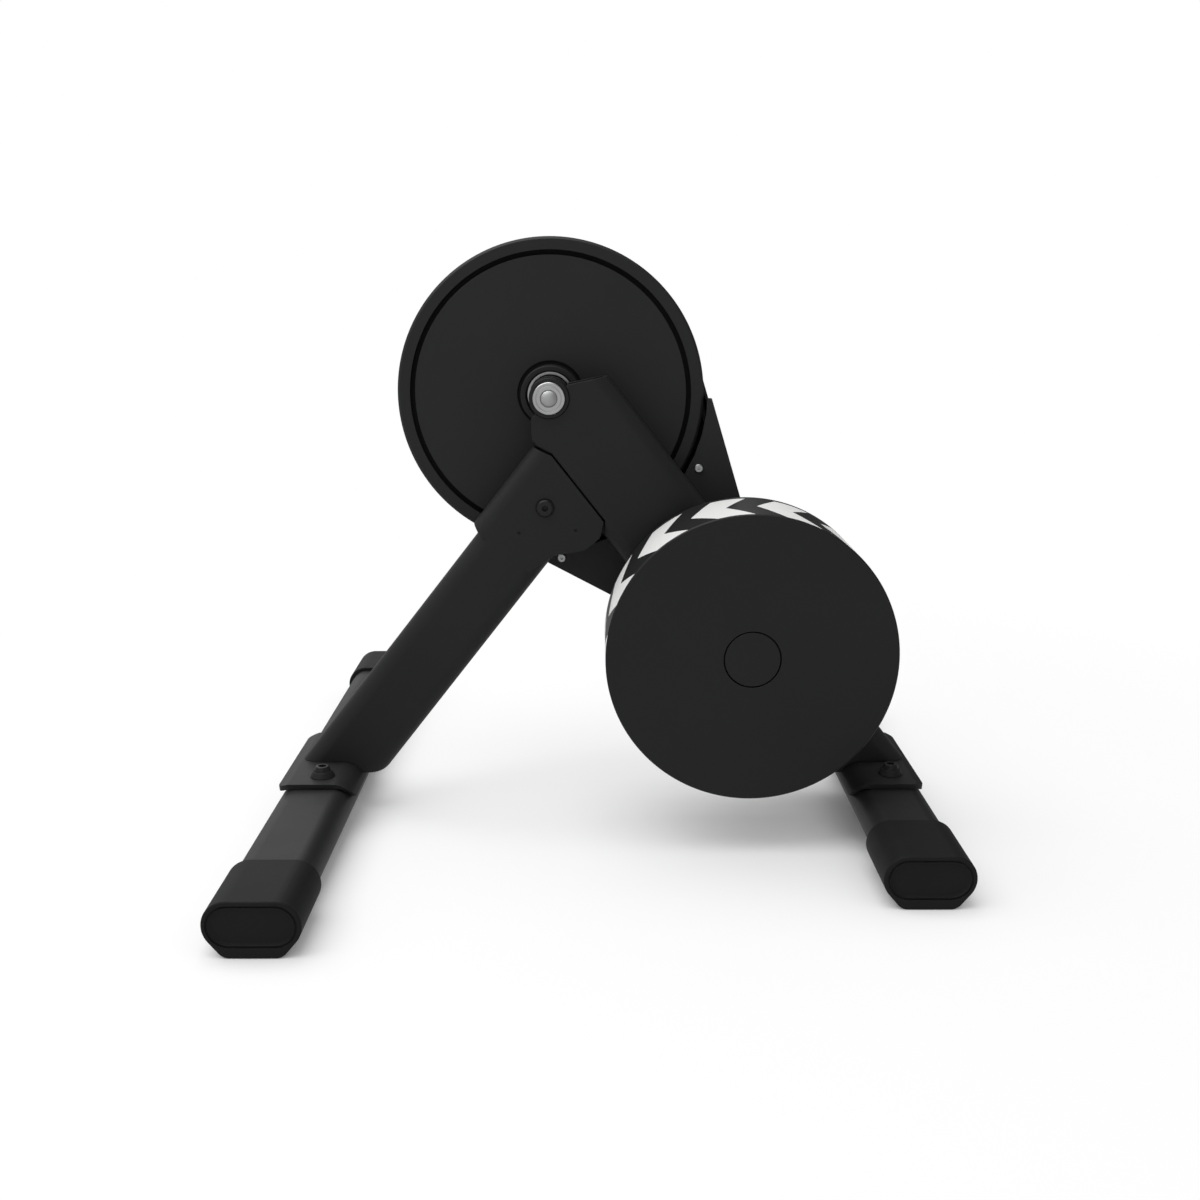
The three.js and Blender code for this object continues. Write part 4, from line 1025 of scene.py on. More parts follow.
SCREW_STEEL = Finish(
    "screw_steel", "steel", (0.5, 0.505, 0.51), 0.34, metallic=1.0, grain=0.3, relief=0.006,
    mottle_size=5.0,
)
GROUND_STEEL = Finish(
    "ground_steel", "steel", (0.46, 0.465, 0.47), 0.36, metallic=1.0, grain=0.4, relief=0.008,
    mottle_size=20.0, wear_and_highlight=0.2, wear_and_highlight_color=(0.75, 0.75, 0.75),
)
SHAFT_STEEL = Turned(
    "shaft_steel", "steel", (0.5, 0.505, 0.51), 0.32, metallic=1.0, relief=0.006, ring=0.5,
    centre=PLACES.shaft, mottle_size=20.0,
)
FREEHUB_ALLOY = Turned(
    "freehub_alloy", "freehub_alloy", (0.3, 0.31, 0.33), 0.34, metallic=1.0, relief=0.008, ring=0.6,
    centre=PLACES.axle, mottle_size=20.0, wear_and_highlight=0.4, wear_and_highlight_color=(0.7, 0.7, 0.7),
)
CORE_IRON = Finish(
    "core_iron", "core_iron", (0.17, 0.168, 0.165), 0.5, metallic=0.85, mottle=0.2, grain=0.9,
    relief=0.03,
    mottle_size=14.0,
)
COIL_COPPER = Wound("coil_copper", "coil_copper", (0.52, 0.19, 0.07), 0.36, metallic=0.9, grain=0.5)
BELT_RUBBER = Ribbed(
    "belt_rubber", "belt_rubber", (0.01, 0.01, 0.01), 0.7, specular=0.2, relief=0.35,
)
BOARD_GREEN = Printed("board_green", "board_green", (0.012, 0.085, 0.035), 0.4, grain=0.4)
LENS = Finish("lens", "lens", (0.32, 0.52, 0.72), 0.15, grain=0.8, relief=0.004, coat=0.5)


def dress(finish: Finish, *nodes: str) -> None:
    """Gives CAD nodes that stay in view or inside a finish of their own.

    Args:
        finish: The finish.
        nodes: The nodes' names.
    """
    for name in nodes:
        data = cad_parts[name].data
        if not data.materials:
            data.materials.append(None)
        for index in range(len(data.materials)):
            data.materials[index] = finish.material()
        LOG.info("%s: dressed in %s", name, finish.name)


# Sub-assemblies


@dataclass
class Foot:
    """A foot bar with its two end caps and the saddle plate that holds a frame tube on it."""

    end: str
    bar_x: float
    inward: int
    length: float
    lip: float
    bolt_shift: float
    bolt_reach: float
    bar_width: float = 53.4
    bar_wall: float = 2.5
    cap_width: float = 60.9
    cap_round: float = 32.8
    cap_length: float = 63.9
    cap_wall: float = 7.0
    cap_under: float = 0.7
    cap_edge: float = 1.3
    root_edge: float = 0.8
    pad_corner: float = 8.0
    crown: float = 0.8
    crown_depth: float = 6.0
    crown_step: float = 4.0
    groove_inset: float = 2.7
    groove_width: float = 1.3
    groove_depth: float = 1.3
    groove_edge: float = 0.3
    panel_lap: float = 0.1
    panel_drop: float = 0.35
    dish_slope: float = 2.2
    dish: float = 2.2
    plate: float = 3.7
    plate_length: float = 122.0
    plate_flat: float = 19.5
    plate_edge: float = 0.5
    outer_bend: float = 6.0
    inner_bend: float = 4.0
    lip_angle: float = 0.32
    wrap_angle: float = 0.36
    corner_cut: float = 9.0
    corner_radius: float = 8.5
    washer_base: float = 9.2
    washer_top: float = 7.0
    washer_height: float = 4.3
    washer_sink: float = 1.0
    bolt_radius: float = 3.2
    bolt_head: float = 6.1
    bolt_crown: float = 4.7
    bolt_head_height: float = 4.2
    bolt_length: float = 22.0
    socket: float = 3.3
    socket_depth: float = 2.4
    socket_edge: float = 0.12

    def build(self) -> None:
        """Makes the bar, its caps, its saddle and the saddle's fixings."""
        self.bar()
        for side, name in ((-1, "left"), (1, "right")):
            self.cap(side, name)
            self.fixing(PLACES.frame_y + side * self.bolt_reach, name)
        self.saddle()
        dress(GROUND_STEEL, f"{self.end}_left_insert", f"{self.end}_right_insert")

    @property
    def bolt_x(self) -> float:
        """The bolts' place along X."""
        return self.bar_x + self.bolt_shift

    def holes(self, form: Form) -> Form:
        """Drills the two bolts' holes through a form and returns it."""
        for side in (-1, 1):
            place = (self.bolt_x, PLACES.frame_y + side * self.bolt_reach)
            form.cut(Form.rod(
                self.bolt_radius + GAP, PLACES.bar_middle, 2 * PLACES.saddle_top, place,
                HOLE_STEPS, Plane.TOP,
            ))
        return form

    def bar(self) -> None:
        """Makes the hollow flat-oval bar."""
        half = self.length / 2 - self.cap_wall - GAP
        path = oval(self.bar_width, PLACES.bar_height, self.bar_x, PLACES.bar_middle)
        form = Form.tube(path, self.bar_wall, -half, half, Plane.SIDE)
        self.holes(form).piece(f"{self.end}_bar", POWDER, f"{self.end}_foot_bar")

    def cap_path(self) -> Path:
        """Returns the cap's outline: a flat oval on straight flanks and a flat pad."""
        radius = self.cap_round / 2
        reach = self.cap_width / 2 - radius
        middle = PLACES.bar_middle
        pad = reach + radius * math.cos(self.cap_under)
        pad -= (middle - radius * math.sin(self.cap_under)) * math.tan(self.cap_under)
        x = self.bar_x
        flank = x + reach + radius * math.cos(self.cap_under)
        return [
            Corner(flank, middle - radius * math.sin(self.cap_under)),
            Turn(x + reach, middle, QUARTER + self.cap_under),
            Corner(x - reach, middle + radius),
            Turn(x - reach, middle, QUARTER + self.cap_under),
            Corner(x - pad, 0, self.pad_corner),
            Corner(x + pad, 0, self.pad_corner),
        ]

    def cap(self, side: int, name: str) -> None:
        """Makes one end cap.

        Args:
            side: -1 on the flywheel's side, 1 on the other.
            name: The side's name.
        """
        face = side * self.length / 2
        root = face - side * self.cap_length
        form = Form.prism(self.cap_path(), min(face, root), max(face, root))
        form.soften(self.cap_edge, 4, where=lambda spot: abs(spot.y - face) < TOUCH)
        form.soften(self.root_edge, 2, where=lambda spot: abs(spot.y - root) < TOUCH)
        middle = PLACES.bar_middle
        socket = oval(self.bar_width + 2 * GAP, PLACES.bar_height + 2 * GAP, self.bar_x, middle)
        ends = sorted((face - side * self.cap_wall, root - side * OVERRUN))
        form.cut(Form.prism(socket, *ends))
        inset = 2 * self.groove_inset
        ring = oval(self.cap_width - inset, self.cap_round - inset, self.bar_x, middle)
        depths = sorted((face + side * OVERRUN, face - side * self.groove_depth))
        form.cut(Form.tube(ring, self.groove_width, *depths, Plane.SIDE))
        inset += 2 * (self.groove_width - self.panel_lap)
        panel = oval(self.cap_width - inset, self.cap_round - inset, self.bar_x, middle)
        drop = sorted((face + side * OVERRUN, face - side * self.panel_drop))
        form.cut(Form.prism(panel, *drop))
        form.dish(face - side * self.panel_drop, self.dish_slope, -self.dish)
        form.soften(
            self.groove_edge, 2,
            where=lambda spot: abs(side * (face - spot.y) - self.panel_drop) < TOUCH
            or (abs(spot.y - face) < TOUCH / 2 and spot.z > middle - self.cap_round / 2),
        )
        self.crowned(form, face, side)
        name = f"{self.end}_{name}"
        form.piece(f"{name}_foot_cap", CAP_RUBBER, f"{name}_cap")

    def crowned(self, form: Form, face: float, side: int) -> None:
        """Bends a cap's end face so that it stands highest along its middle.

        Args:
            form: The cap.
            face: The end face's place along Y.
            side: -1 on the flywheel's side, 1 on the other.
        """
        half = self.cap_width / 2
        count = round(2 * half / self.crown_step)
        for index in range(1, count):
            form.split(self.bar_x - half + index * 2 * half / count)
        for vert in form.mesh.verts:
            share = 1 - side * (face - vert.co.y) / self.crown_depth
            if share > 0:
                vert.co.y -= side * self.crown * share * ((vert.co.x - self.bar_x) / half) ** 2

    def saddle_path(self) -> Path:
        """Returns the saddle's section, from the bar's round side over the flat to the lip."""
        reach = (self.bar_width - PLACES.bar_height) / 2
        inner = PLACES.bar_height / 2 + GAP
        outer = inner + self.plate
        lip_u, lip_v = self.lip * math.cos(self.lip_angle), self.lip * math.sin(self.lip_angle)
        shift_u = self.plate * math.sin(self.lip_angle)
        shift_v = self.plate * math.cos(self.lip_angle)
        turn = QUARTER - self.wrap_angle
        top, middle = PLACES.saddle_top, PLACES.bar_middle
        wrap_u, wrap_v = outer * math.cos(self.wrap_angle), outer * math.sin(self.wrap_angle)
        corners = [
            Corner(reach + wrap_u, middle + wrap_v),
            Turn(reach, middle, turn),
            Corner(-self.plate_flat, top, self.outer_bend),
            Corner(-self.plate_flat - lip_u, top - lip_v),
            Corner(-self.plate_flat - lip_u + shift_u, top - lip_v - shift_v),
            Corner(-self.plate_flat + shift_u / 2, top - self.plate, self.inner_bend),
            Corner(reach, middle + inner),
            Turn(reach, middle, -turn),
        ]
        return [self.mirrored(step) for step in corners]

    def mirrored(self, step: Corner | Turn) -> Corner | Turn:
        """Places a step of the saddle's section on the bar, turned towards the frame's inside."""
        if isinstance(step, Turn):
            return Turn(self.bar_x + self.inward * step.u, step.v, self.inward * step.angle)
        return Corner(self.bar_x + self.inward * step.u, step.v, step.soft)

    def saddle(self) -> None:
        """Makes the bent saddle plate."""
        low = PLACES.frame_y - self.plate_length / 2
        high = PLACES.frame_y + self.plate_length / 2
        form = Form.prism(self.saddle_path(), low, high)
        edge = self.bar_x - self.inward * (self.plate_flat + self.lip * math.cos(self.lip_angle))
        far = self.bar_x + self.inward * self.bar_width
        plan = [
            Corner(edge, low, self.corner_radius), Corner(far, low), Corner(far, high),
            Corner(edge, high, self.corner_radius),
        ]
        form.cut(Form.prism(plan, 0, 2 * PLACES.saddle_top, Plane.TOP), Cut.KEEP)
        wrap = PLACES.bar_middle + (PLACES.bar_height / 2 + GAP) * math.sin(self.wrap_angle)
        for end, way in ((low, 1), (high, -1)):
            wedge = [
                Corner(end - way * OVERRUN, wrap + self.corner_cut + OVERRUN),
                Corner(end - way * OVERRUN, wrap - OVERRUN),
                Corner(end + way * (self.corner_cut + OVERRUN), wrap - OVERRUN),
            ]
            form.cut(Form.prism(wedge, *sorted((self.bar_x, far)), Plane.END))
        self.holes(form).soften(self.plate_edge, 3)
        form.piece(f"{self.end}_saddle_plate", POWDER, f"{self.end}_saddle")

    def fixing(self, y: float, name: str) -> None:
        """Makes one washer and its bolt.

        Args:
            y: The bolt's place across the frame.
            name: The side's name.
        """
        seat = PLACES.saddle_top + GAP
        top = seat + self.washer_height
        hole = self.bolt_radius + GAP
        sink = self.bolt_head + GAP
        floor = top - self.washer_sink
        spot, name = (self.bolt_x, y), f"{self.end}_{name}"
        washer = [
            (hole, seat), (self.washer_base, seat), (self.washer_top, top), (sink, top),
            (sink, floor), (hole, floor),
        ]
        Form.turned(washer, spot, soft=0.25, plane=Plane.TOP).piece(
            f"{name}_cone_washer", POWDER, f"{name}_washer",
        )
        seat = floor + GAP
        crest = seat + self.bolt_head_height
        bolt = [
            (0, crest - self.bolt_length), (self.bolt_radius, crest - self.bolt_length),
            (self.bolt_radius, seat), (self.bolt_head, seat), (self.bolt_head, top + GAP),
            (self.bolt_crown, crest), (0, crest),
        ]
        form = Form.turned(bolt, spot, soft=0.6, plane=Plane.TOP)
        ends = (crest - self.socket_depth, crest + OVERRUN)
        form.cut(Form.rod(self.socket, *ends, spot, HEX, Plane.TOP))
        form.soften(self.socket_edge, 2, where=lambda middle: middle.z > crest - 2 * TOUCH)
        form.piece(f"{name}_bolt", BLACK_OXIDE, f"{name}_saddle_bolt")


@dataclass
class FrameTubes:
    """The main beam, the front leg that meets it, and what holds them together."""

    edge: float = 0.45
    bracket_edge: float = 0.6
    bolt_place: Place = field(default_factory=lambda: PLACES.beam.at(61.1046, -58.102))
    bolt_radius: float = 4.0
    bolt_head: float = 6.2
    bolt_neck: float = 5.6
    bolt_gap: float = 1.0
    bolt_head_height: float = 3.6
    seat_radius: float = 7.1
    seat_depth: float = 1.0
    bolt_flat: float = 4.9
    socket: float = 2.6
    socket_depth: float = 3.2
    reach: float = 11.6

    def build(self) -> None:
        """Makes the tubes and their bolt."""
        face = PLACES.frame_near
        Form.of_node("main_beam").soften(self.edge, 2).piece(
            "beam_tube", POWDER, "main_beam",
        )
        spot_face = [
            (self.bolt_radius, face - OVERRUN), (self.seat_radius, face - OVERRUN),
            (self.seat_radius, face + self.seat_depth), (self.bolt_radius, face + self.seat_depth),
        ]
        Form.of_node("front_leg").cut(Form.turned(spot_face, self.bolt_place, soft=0)).soften(
            self.edge, 2,
        ).piece("leg_tube", POWDER, "front_leg")
        Form.of_node("leg_bracket").soften(self.bracket_edge, 2).piece(
            "bracket_plate", POWDER, "leg_bracket",
        )
        face += self.seat_depth - GAP
        front = face - self.bolt_head_height
        profile = [
            (0, front), (self.bolt_flat, front), (self.bolt_head, front + self.bolt_gap),
            (self.bolt_head, face - self.bolt_gap), (self.bolt_neck, face - self.bolt_gap),
            (self.bolt_neck, face), (self.bolt_radius, face),
            (self.bolt_radius, PLACES.frame_far + self.reach),
            (0, PLACES.frame_far + self.reach),
        ]
        form = Form.turned(profile, self.bolt_place, soft=0.4)
        ends = (front - OVERRUN, front + self.socket_depth)
        form.cut(Form.rod(self.socket, *ends, self.bolt_place, HEX))
        form.piece("leg_head_bolt", BLACK_OXIDE, "leg_bolt")
        dress(GROUND_STEEL, "leg_nut")


@dataclass
class Axle:
    """The hollow axle, its silver ends, the collar that seats it and the lock ring behind."""

    left: float = -50.0
    spacing: float = 130.0
    bore: float = 6.0
    radius: float = 8.5
    end_radius: float = 11.7
    end_length: float = 13.7
    chamfer: float = 0.4
    groove: float = 9.5
    groove_width: float = 0.6
    groove_depth: float = 0.5
    dome: float = 6.0
    dome_height: float = 2.8
    dome_sink: float = 0.9
    dome_steps: int = 10
    recess: float = 0.4
    plug_length: float = 10.0
    right_radius: float = 10.5
    collar_radius: float = 14.6
    collar_inset: float = 2.5
    ring_radius: float = 13.2
    ring_back: float = -20.3

    def build(self) -> None:
        """Makes every part on the axle that stands still."""
        spot = PLACES.axle
        start, right = self.left + self.end_length + GAP, self.left + self.spacing
        stop = right - self.end_length - GAP
        shaft = [(self.bore, start), (self.radius, start), (self.radius, stop), (self.bore, stop)]
        Form.turned(shaft, spot).piece("axle_tube", SILVER_TURNED, "axle", slot="steel")
        plug = self.bore - GAP
        step = start - GAP
        root = self.left + self.dome_sink
        turns = [QUARTER * index / self.dome_steps for index in range(self.dome_steps)]
        end = [
            *(
                (self.dome * math.sin(turn), root - self.dome_height * math.cos(turn))
                for turn in turns
            ),
            (self.dome, root), (self.dome + self.recess, self.left),
            (self.groove - self.groove_width, self.left),
            (self.groove - self.groove_width, self.left + self.groove_depth),
            (self.groove, self.left + self.groove_depth), (self.groove, self.left),
            (self.end_radius - self.chamfer, self.left),
            (self.end_radius, self.left + self.chamfer),
            (self.end_radius, step), (plug, step), (plug, step + self.plug_length),
            (0, step + self.plug_length),
        ]
        Form.turned(end, spot, MIDDLE_STEPS, soft=0.12).piece(
            "left_axle_cap", SILVER_TURNED, "left_axle_end",
        )
        step = right - self.end_length
        end = [
            (0, step - self.plug_length), (plug, step - self.plug_length), (plug, step),
            (self.right_radius, step), (self.right_radius, right - self.chamfer),
            (self.right_radius - self.chamfer, right), (0, right),
        ]
        Form.turned(end, spot, MIDDLE_STEPS, soft=0.15).piece(
            "right_axle_cap", SILVER_TURNED, "right_axle_end",
        )
        low, wide = self.left + self.collar_inset, self.end_radius + GAP
        collar = [
            (wide, low), (self.collar_radius - self.chamfer, low),
            (self.collar_radius, low + self.chamfer), (self.collar_radius, PLACES.frame_far),
            (self.radius + GAP, PLACES.frame_far), (self.radius + GAP, start), (wide, start),
        ]
        Form.turned(collar, spot, MIDDLE_STEPS, soft=0.2).piece(
            "seat_collar", BLACK_OXIDE, "axle_collar",
        )
        low = PLACES.frame_far + GAP
        ring = [
            (self.radius + GAP, low), (self.ring_radius, low), (self.ring_radius, self.ring_back),
            (self.radius + GAP, self.ring_back),
        ]
        Form.turned(ring, spot, MIDDLE_STEPS, soft=0.2).piece(
            "lock_ring", BLACK_OXIDE, "axle_lock_ring", slot="axle_silver",
        )


@dataclass
class Bearing:
    """A ball bearing with a sunk rubber seal on each side."""

    node: str
    centre: Place
    body: str
    outer: float = 16.0
    sunk: float = 0.0
    bore: float = 8.8
    inner_race: float = 2.2
    outer_race: float = 2.0
    seal_sink: float = 1.1
    seal: float = 0.7

    def build(self) -> None:
        """Makes the steel rings and the seal on each side."""
        low, high = (corner.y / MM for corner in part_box(self.node))
        low += self.sunk
        inner, outer = self.bore + self.inner_race, self.outer - self.outer_race
        sink = self.seal_sink
        profile = [
            (self.bore, low), (inner, low), (inner, low + sink), (outer, low + sink), (outer, low),
            (self.outer, low), (self.outer, high), (outer, high), (outer, high - sink),
            (inner, high - sink), (inner, high), (self.bore, high),
        ]
        Form.turned(profile, self.centre, MIDDLE_STEPS, soft=0.15).piece(
            f"{self.node}_rings", RACE_STEEL, self.node, body=self.body,
        )
        gap = GAP / 3
        for name, under, way in (("near", low + sink - gap, -1), ("far", high - sink + gap, 1)):
            top = under + way * self.seal
            lip = [
                (inner + gap, under), (outer - gap, under), (outer - gap, top),
                ((inner + outer) / 2, top - way * gap), (inner + gap, top),
            ]
            Form.turned(lip, self.centre, MIDDLE_STEPS, soft=0.1).piece(
                f"{self.node}_{name}_seal", SEAL_RUBBER, self.node, body=self.body,
            )


@dataclass
class DrivePulley:
    """The large belt pulley on the axle, with its boss, bearings and freehub body."""

    face: float = -6.3
    rim: float = 115.2
    flange: float = 5.0
    chamfer: float = 1.9
    groove: Place = (101.9, 105.6)
    groove_depth: float = 4.0
    web: float = 7.0
    crown: float = 106.0
    crown_wall: float = 5.0
    crown_to: float = 16.1
    hub: float = 24.0
    boss: float = 22.0
    boss_edge: float = 0.6
    boss_flange: float = 3.0
    waist: float = 21.0
    ring: float = 24.9
    ring_depth: float = 1.0
    hub_front: float = -20.0
    hub_rear: float = 24.7
    ratchet: float = 21.0
    ratchet_length: float = 4.0
    seat: float = 16.3
    left_seat: float = 18.2
    left_bearing: float = 17.1
    left_sink: float = 6.1
    shoulder: float = 13.0
    bearing_width: float = 10.1
    spline_edge: float = 0.35
    spline_angle: float = math.radians(35)

    def build(self) -> None:
        """Makes the pulley, its bearings and the freehub body."""
        face, hub, seat = self.face, self.hub, self.seat
        inner, outer = self.groove
        back = face + self.web
        crown_from = face + self.flange
        left, right = self.hub_front + self.bearing_width, self.hub_rear - self.bearing_width
        front, flange = self.hub_front, self.hub_front + self.boss_flange
        hold = self.left_bearing + GAP / 2
        profile = [
            (self.left_seat, front), (self.boss - self.boss_edge, front),
            (self.boss, front + self.boss_edge), (self.boss, flange),
            (self.waist, flange + self.boss_edge), (self.waist, face + self.ring_depth),
            (self.ring, face + self.ring_depth), (self.ring, face), (inner, face),
            (inner, face + self.groove_depth), (outer, face + self.groove_depth), (outer, face),
            (self.rim - self.chamfer, face), (self.rim, face + self.chamfer),
            (self.rim, crown_from), (self.crown, crown_from), (self.crown, self.crown_to),
            (self.crown - self.crown_wall, self.crown_to), (self.crown - self.crown_wall, back),
            (hub, back), (hub, self.hub_rear - self.ratchet_length),
            (self.ratchet, self.hub_rear - self.ratchet_length), (self.ratchet, self.hub_rear),
            (seat, self.hub_rear), (seat, right), (self.shoulder, right), (self.shoulder, left),
            (hold, left), (hold, front + self.left_sink), (self.left_seat, front + self.left_sink),
        ]
        Form.turned(profile, PLACES.axle, LARGE_STEPS, soft=0.3).piece(
            "belt_pulley", PULLEY_PAINT, "drive_pulley", body="pulley",
        )
        Bearing(
            "left_hub_bearing", PLACES.axle, "pulley", outer=self.left_bearing, sunk=self.left_sink,
        ).build()
        Bearing("right_hub_bearing", PLACES.axle, "pulley").build()
        Form.of_node("freehub_body").soften(self.spline_edge, 2, self.spline_angle).piece(
            "splined_body", FREEHUB_ALLOY, "freehub_body", body="freehub",
        )


@dataclass
class BeltCover:
    """The shell behind the pulley, the plate before the belt and their screws."""

    edge: float = 0.5
    back_edge: float = 2.0
    opening: float = 60.0
    screw_reach: float = 125.1
    screw_angles: tuple[float, float] = (-1.509, -0.4607)
    plate_face: float = -9.0
    head: float = 3.2
    head_flat: float = 0.86
    head_height: float = 1.6
    head_round: float = 0.35
    screw_room: float = 3.0
    shank: float = 1.6
    length: float = 12.0
    socket: float = 1.3
    socket_depth: float = 2.4
    standoff_along: float = 152.0
    standoff_across: float = 15.0
    shell_face: float = 22.0

    def build(self) -> None:
        """Makes both covers and all four screws."""
        Form.of_node("inner_belt_cover").soften(self.edge, 2).piece(
            "cover_plate", PLATE_PLASTIC_PAINTED_LIGHT, "inner_belt_cover",
        )
        Form.of_node("outer_belt_cover").soften(self.back_edge, 4, where=self.on_back_edge).soften(
            self.edge, 2, where=lambda middle: middle.y < self.shell_face - self.back_edge,
        ).piece("cover_shell", COVER_PLASTIC, "outer_belt_cover")
        for index, angle in enumerate(self.screw_angles, 1):
            x = PLACES.axle[0] + self.screw_reach * math.cos(angle)
            z = PLACES.axle[1] + self.screw_reach * math.sin(angle)
            self.screw(f"cover_screw_{index}", (x, z), self.plate_face, 1, self.length, SCREW_STEEL)
        length = self.shell_face - self.plate_face + GAP
        for index, spot in enumerate(self.standoffs, 1):
            self.screw(f"standoff_screw_{index}", spot, self.shell_face, -1, length, BLACK_OXIDE)

    @property
    def standoffs(self) -> list[Place]:
        """The axes of the two screws that hold the shell to the beam."""
        along, across = self.standoff_along, self.standoff_across
        return [PLACES.beam.at(along, side * across) for side in (-1, 1)]

    def on_back_edge(self, middle: Vector) -> bool:
        """Says whether a place lies on the outer rim of the shell's back."""
        if middle.y < self.shell_face - TOUCH:
            return False
        centres = [PLACES.axle, *self.standoffs]
        room = self.screw_room * self.head
        limits = (self.opening, room, room)
        return all(
            math.hypot(middle.x - x, middle.z - z) > limit
            for (x, z), limit in zip(centres, limits, strict=True)
        )

    def screw(
        self, node: str, spot: Place, face: float, way: int, length: float, finish: Finish,
    ) -> None:
        """Makes a pan-head screw with a hexagon socket.

        Args:
            node: The CAD node that it stands for.
            spot: Its axis in the side view.
            face: The face that its head lies on.
            way: 1 where it runs towards +Y, -1 towards -Y.
            length: The length of its shank.
            finish: What its surface is like.
        """
        under = face - way * GAP
        top = under - way * self.head_height
        profile = [
            (0, top), (self.head * self.head_flat, top),
            (self.head, top + way * self.head_height * self.head_round),
            (self.head, under), (self.shank, under),
            (self.shank, under + way * length), (0, under + way * length),
        ]
        form = Form.turned(profile, spot, SCREW_STEPS, soft=0.12)
        ends = sorted((top - way * OVERRUN, top + way * self.socket_depth))
        form.cut(Form.rod(self.socket, *ends, spot, HEX))
        form.piece(f"{node}_head", finish, node)


@dataclass
class BeltDrive:
    """The belt, the small pulley on the flywheel's shaft, and the idler on its pin."""

    idler: Place = (53.1903, 160.3470)
    pin: float = 4.0
    pin_head: float = 7.0
    pin_head_height: float = 3.0
    pin_from: float = -5.7
    head_from: float = 22.3
    groove_radius: float = 13.0
    flange: float = 18.4
    flange_width: float = 1.2
    crown: Place = (-1.3, 16.1)
    bore: float = 8.8
    idler_radius: float = 9.0

    def build(self) -> None:
        """Makes the round parts and dresses the belt."""
        low, high = self.crown
        small = [
            (self.bore, low), (self.flange, low), (self.flange, low + self.flange_width - GAP),
            (self.groove_radius, low + self.flange_width - GAP), (self.groove_radius, high),
            (self.flange, high), (self.flange, high + self.flange_width),
            (self.bore, high + self.flange_width),
        ]
        Form.turned(small, PLACES.shaft, soft=0.15).piece(
            "driven_pulley", SHAFT_STEEL, "small_pulley", body="flywheel",
        )
        inner = self.pin + GAP
        roller = [(inner, low), (self.idler_radius, low), (self.idler_radius, high), (inner, high)]
        Form.turned(roller, self.idler).piece(
            "idler_roller", GROUND_STEEL, "idler_pulley", body="idler",
        )
        head_to = self.head_from + self.pin_head_height
        pin = [
            (0, self.pin_from), (self.pin, self.pin_from), (self.pin, self.head_from),
            (self.pin_head, self.head_from),
            (self.pin_head, self.head_from + self.pin_head_height / 2),
            (self.pin_head - self.pin_head_height / 2, head_to), (0, head_to),
        ]
        Form.turned(pin, self.idler, soft=0.4).piece("idler_bolt", BLACK_OXIDE, "idler_pin")
        dress(BELT_RUBBER, "belt")


@dataclass
class Flywheel:
    """The heavy cup-shaped wheel with its flush cap, its nut and its shaft."""

    radius: float = 101.8
    face: float = -134.0
    back: float = -57.0
    rim: float = 12.0
    web_back: float = -126.0
    chamfer: float = 0.9
    hub: float = 24.0
    hub_back: float = -118.0
    recess: float = 20.1
    recess_floor: float = -127.0
    bore: float = 8.8
    cap_radius: float = 19.3
    cap_thickness: float = 2.5
    cap_chamfer: float = 0.4
    cap_steps: int = 120
    shaft: float = 8.5
    shaft_from: float = -131.2
    collar: float = 14.0
    collar_length: float = 3.0
    shaft_to: float = 17.3

    def build(self) -> None:
        """Makes the wheel, its cap and its shaft."""
        inside = self.radius - self.rim
        profile = [
            (self.recess, self.face), (self.radius - self.chamfer, self.face),
            (self.radius, self.face + self.chamfer), (self.radius, self.back), (inside, self.back),
            (inside, self.web_back), (self.hub, self.web_back), (self.hub, self.hub_back),
            (self.bore, self.hub_back), (self.bore, self.recess_floor),
            (self.recess, self.recess_floor),
        ]
        Form.turned(profile, PLACES.shaft, LARGE_STEPS, soft=0.25).piece(
            "flywheel_cup", WHEEL_PAINT, "flywheel", body="flywheel",
        )
        back = self.face + self.cap_thickness
        cap = [
            (0, self.face), (self.cap_radius - self.cap_chamfer, self.face),
            (self.cap_radius, self.face + self.cap_chamfer), (self.cap_radius, back), (0, back),
        ]
        Form.turned(cap, PLACES.shaft, self.cap_steps, soft=0.2).piece(
            "hub_cap", WHEEL_PAINT, "flywheel_cap", body="flywheel",
        )
        start = self.hub_back + GAP
        rod = [
            (0, self.shaft_from), (self.shaft, self.shaft_from), (self.shaft, start),
            (self.collar, start), (self.collar, start + self.collar_length),
            (self.shaft, start + self.collar_length), (self.shaft, self.shaft_to),
            (0, self.shaft_to),
        ]
        Form.turned(rod, PLACES.shaft).piece(
            "wheel_shaft", SHAFT_STEEL, "flywheel_shaft", body="flywheel",
        )
        dress(GROUND_STEEL, "flywheel_nut")


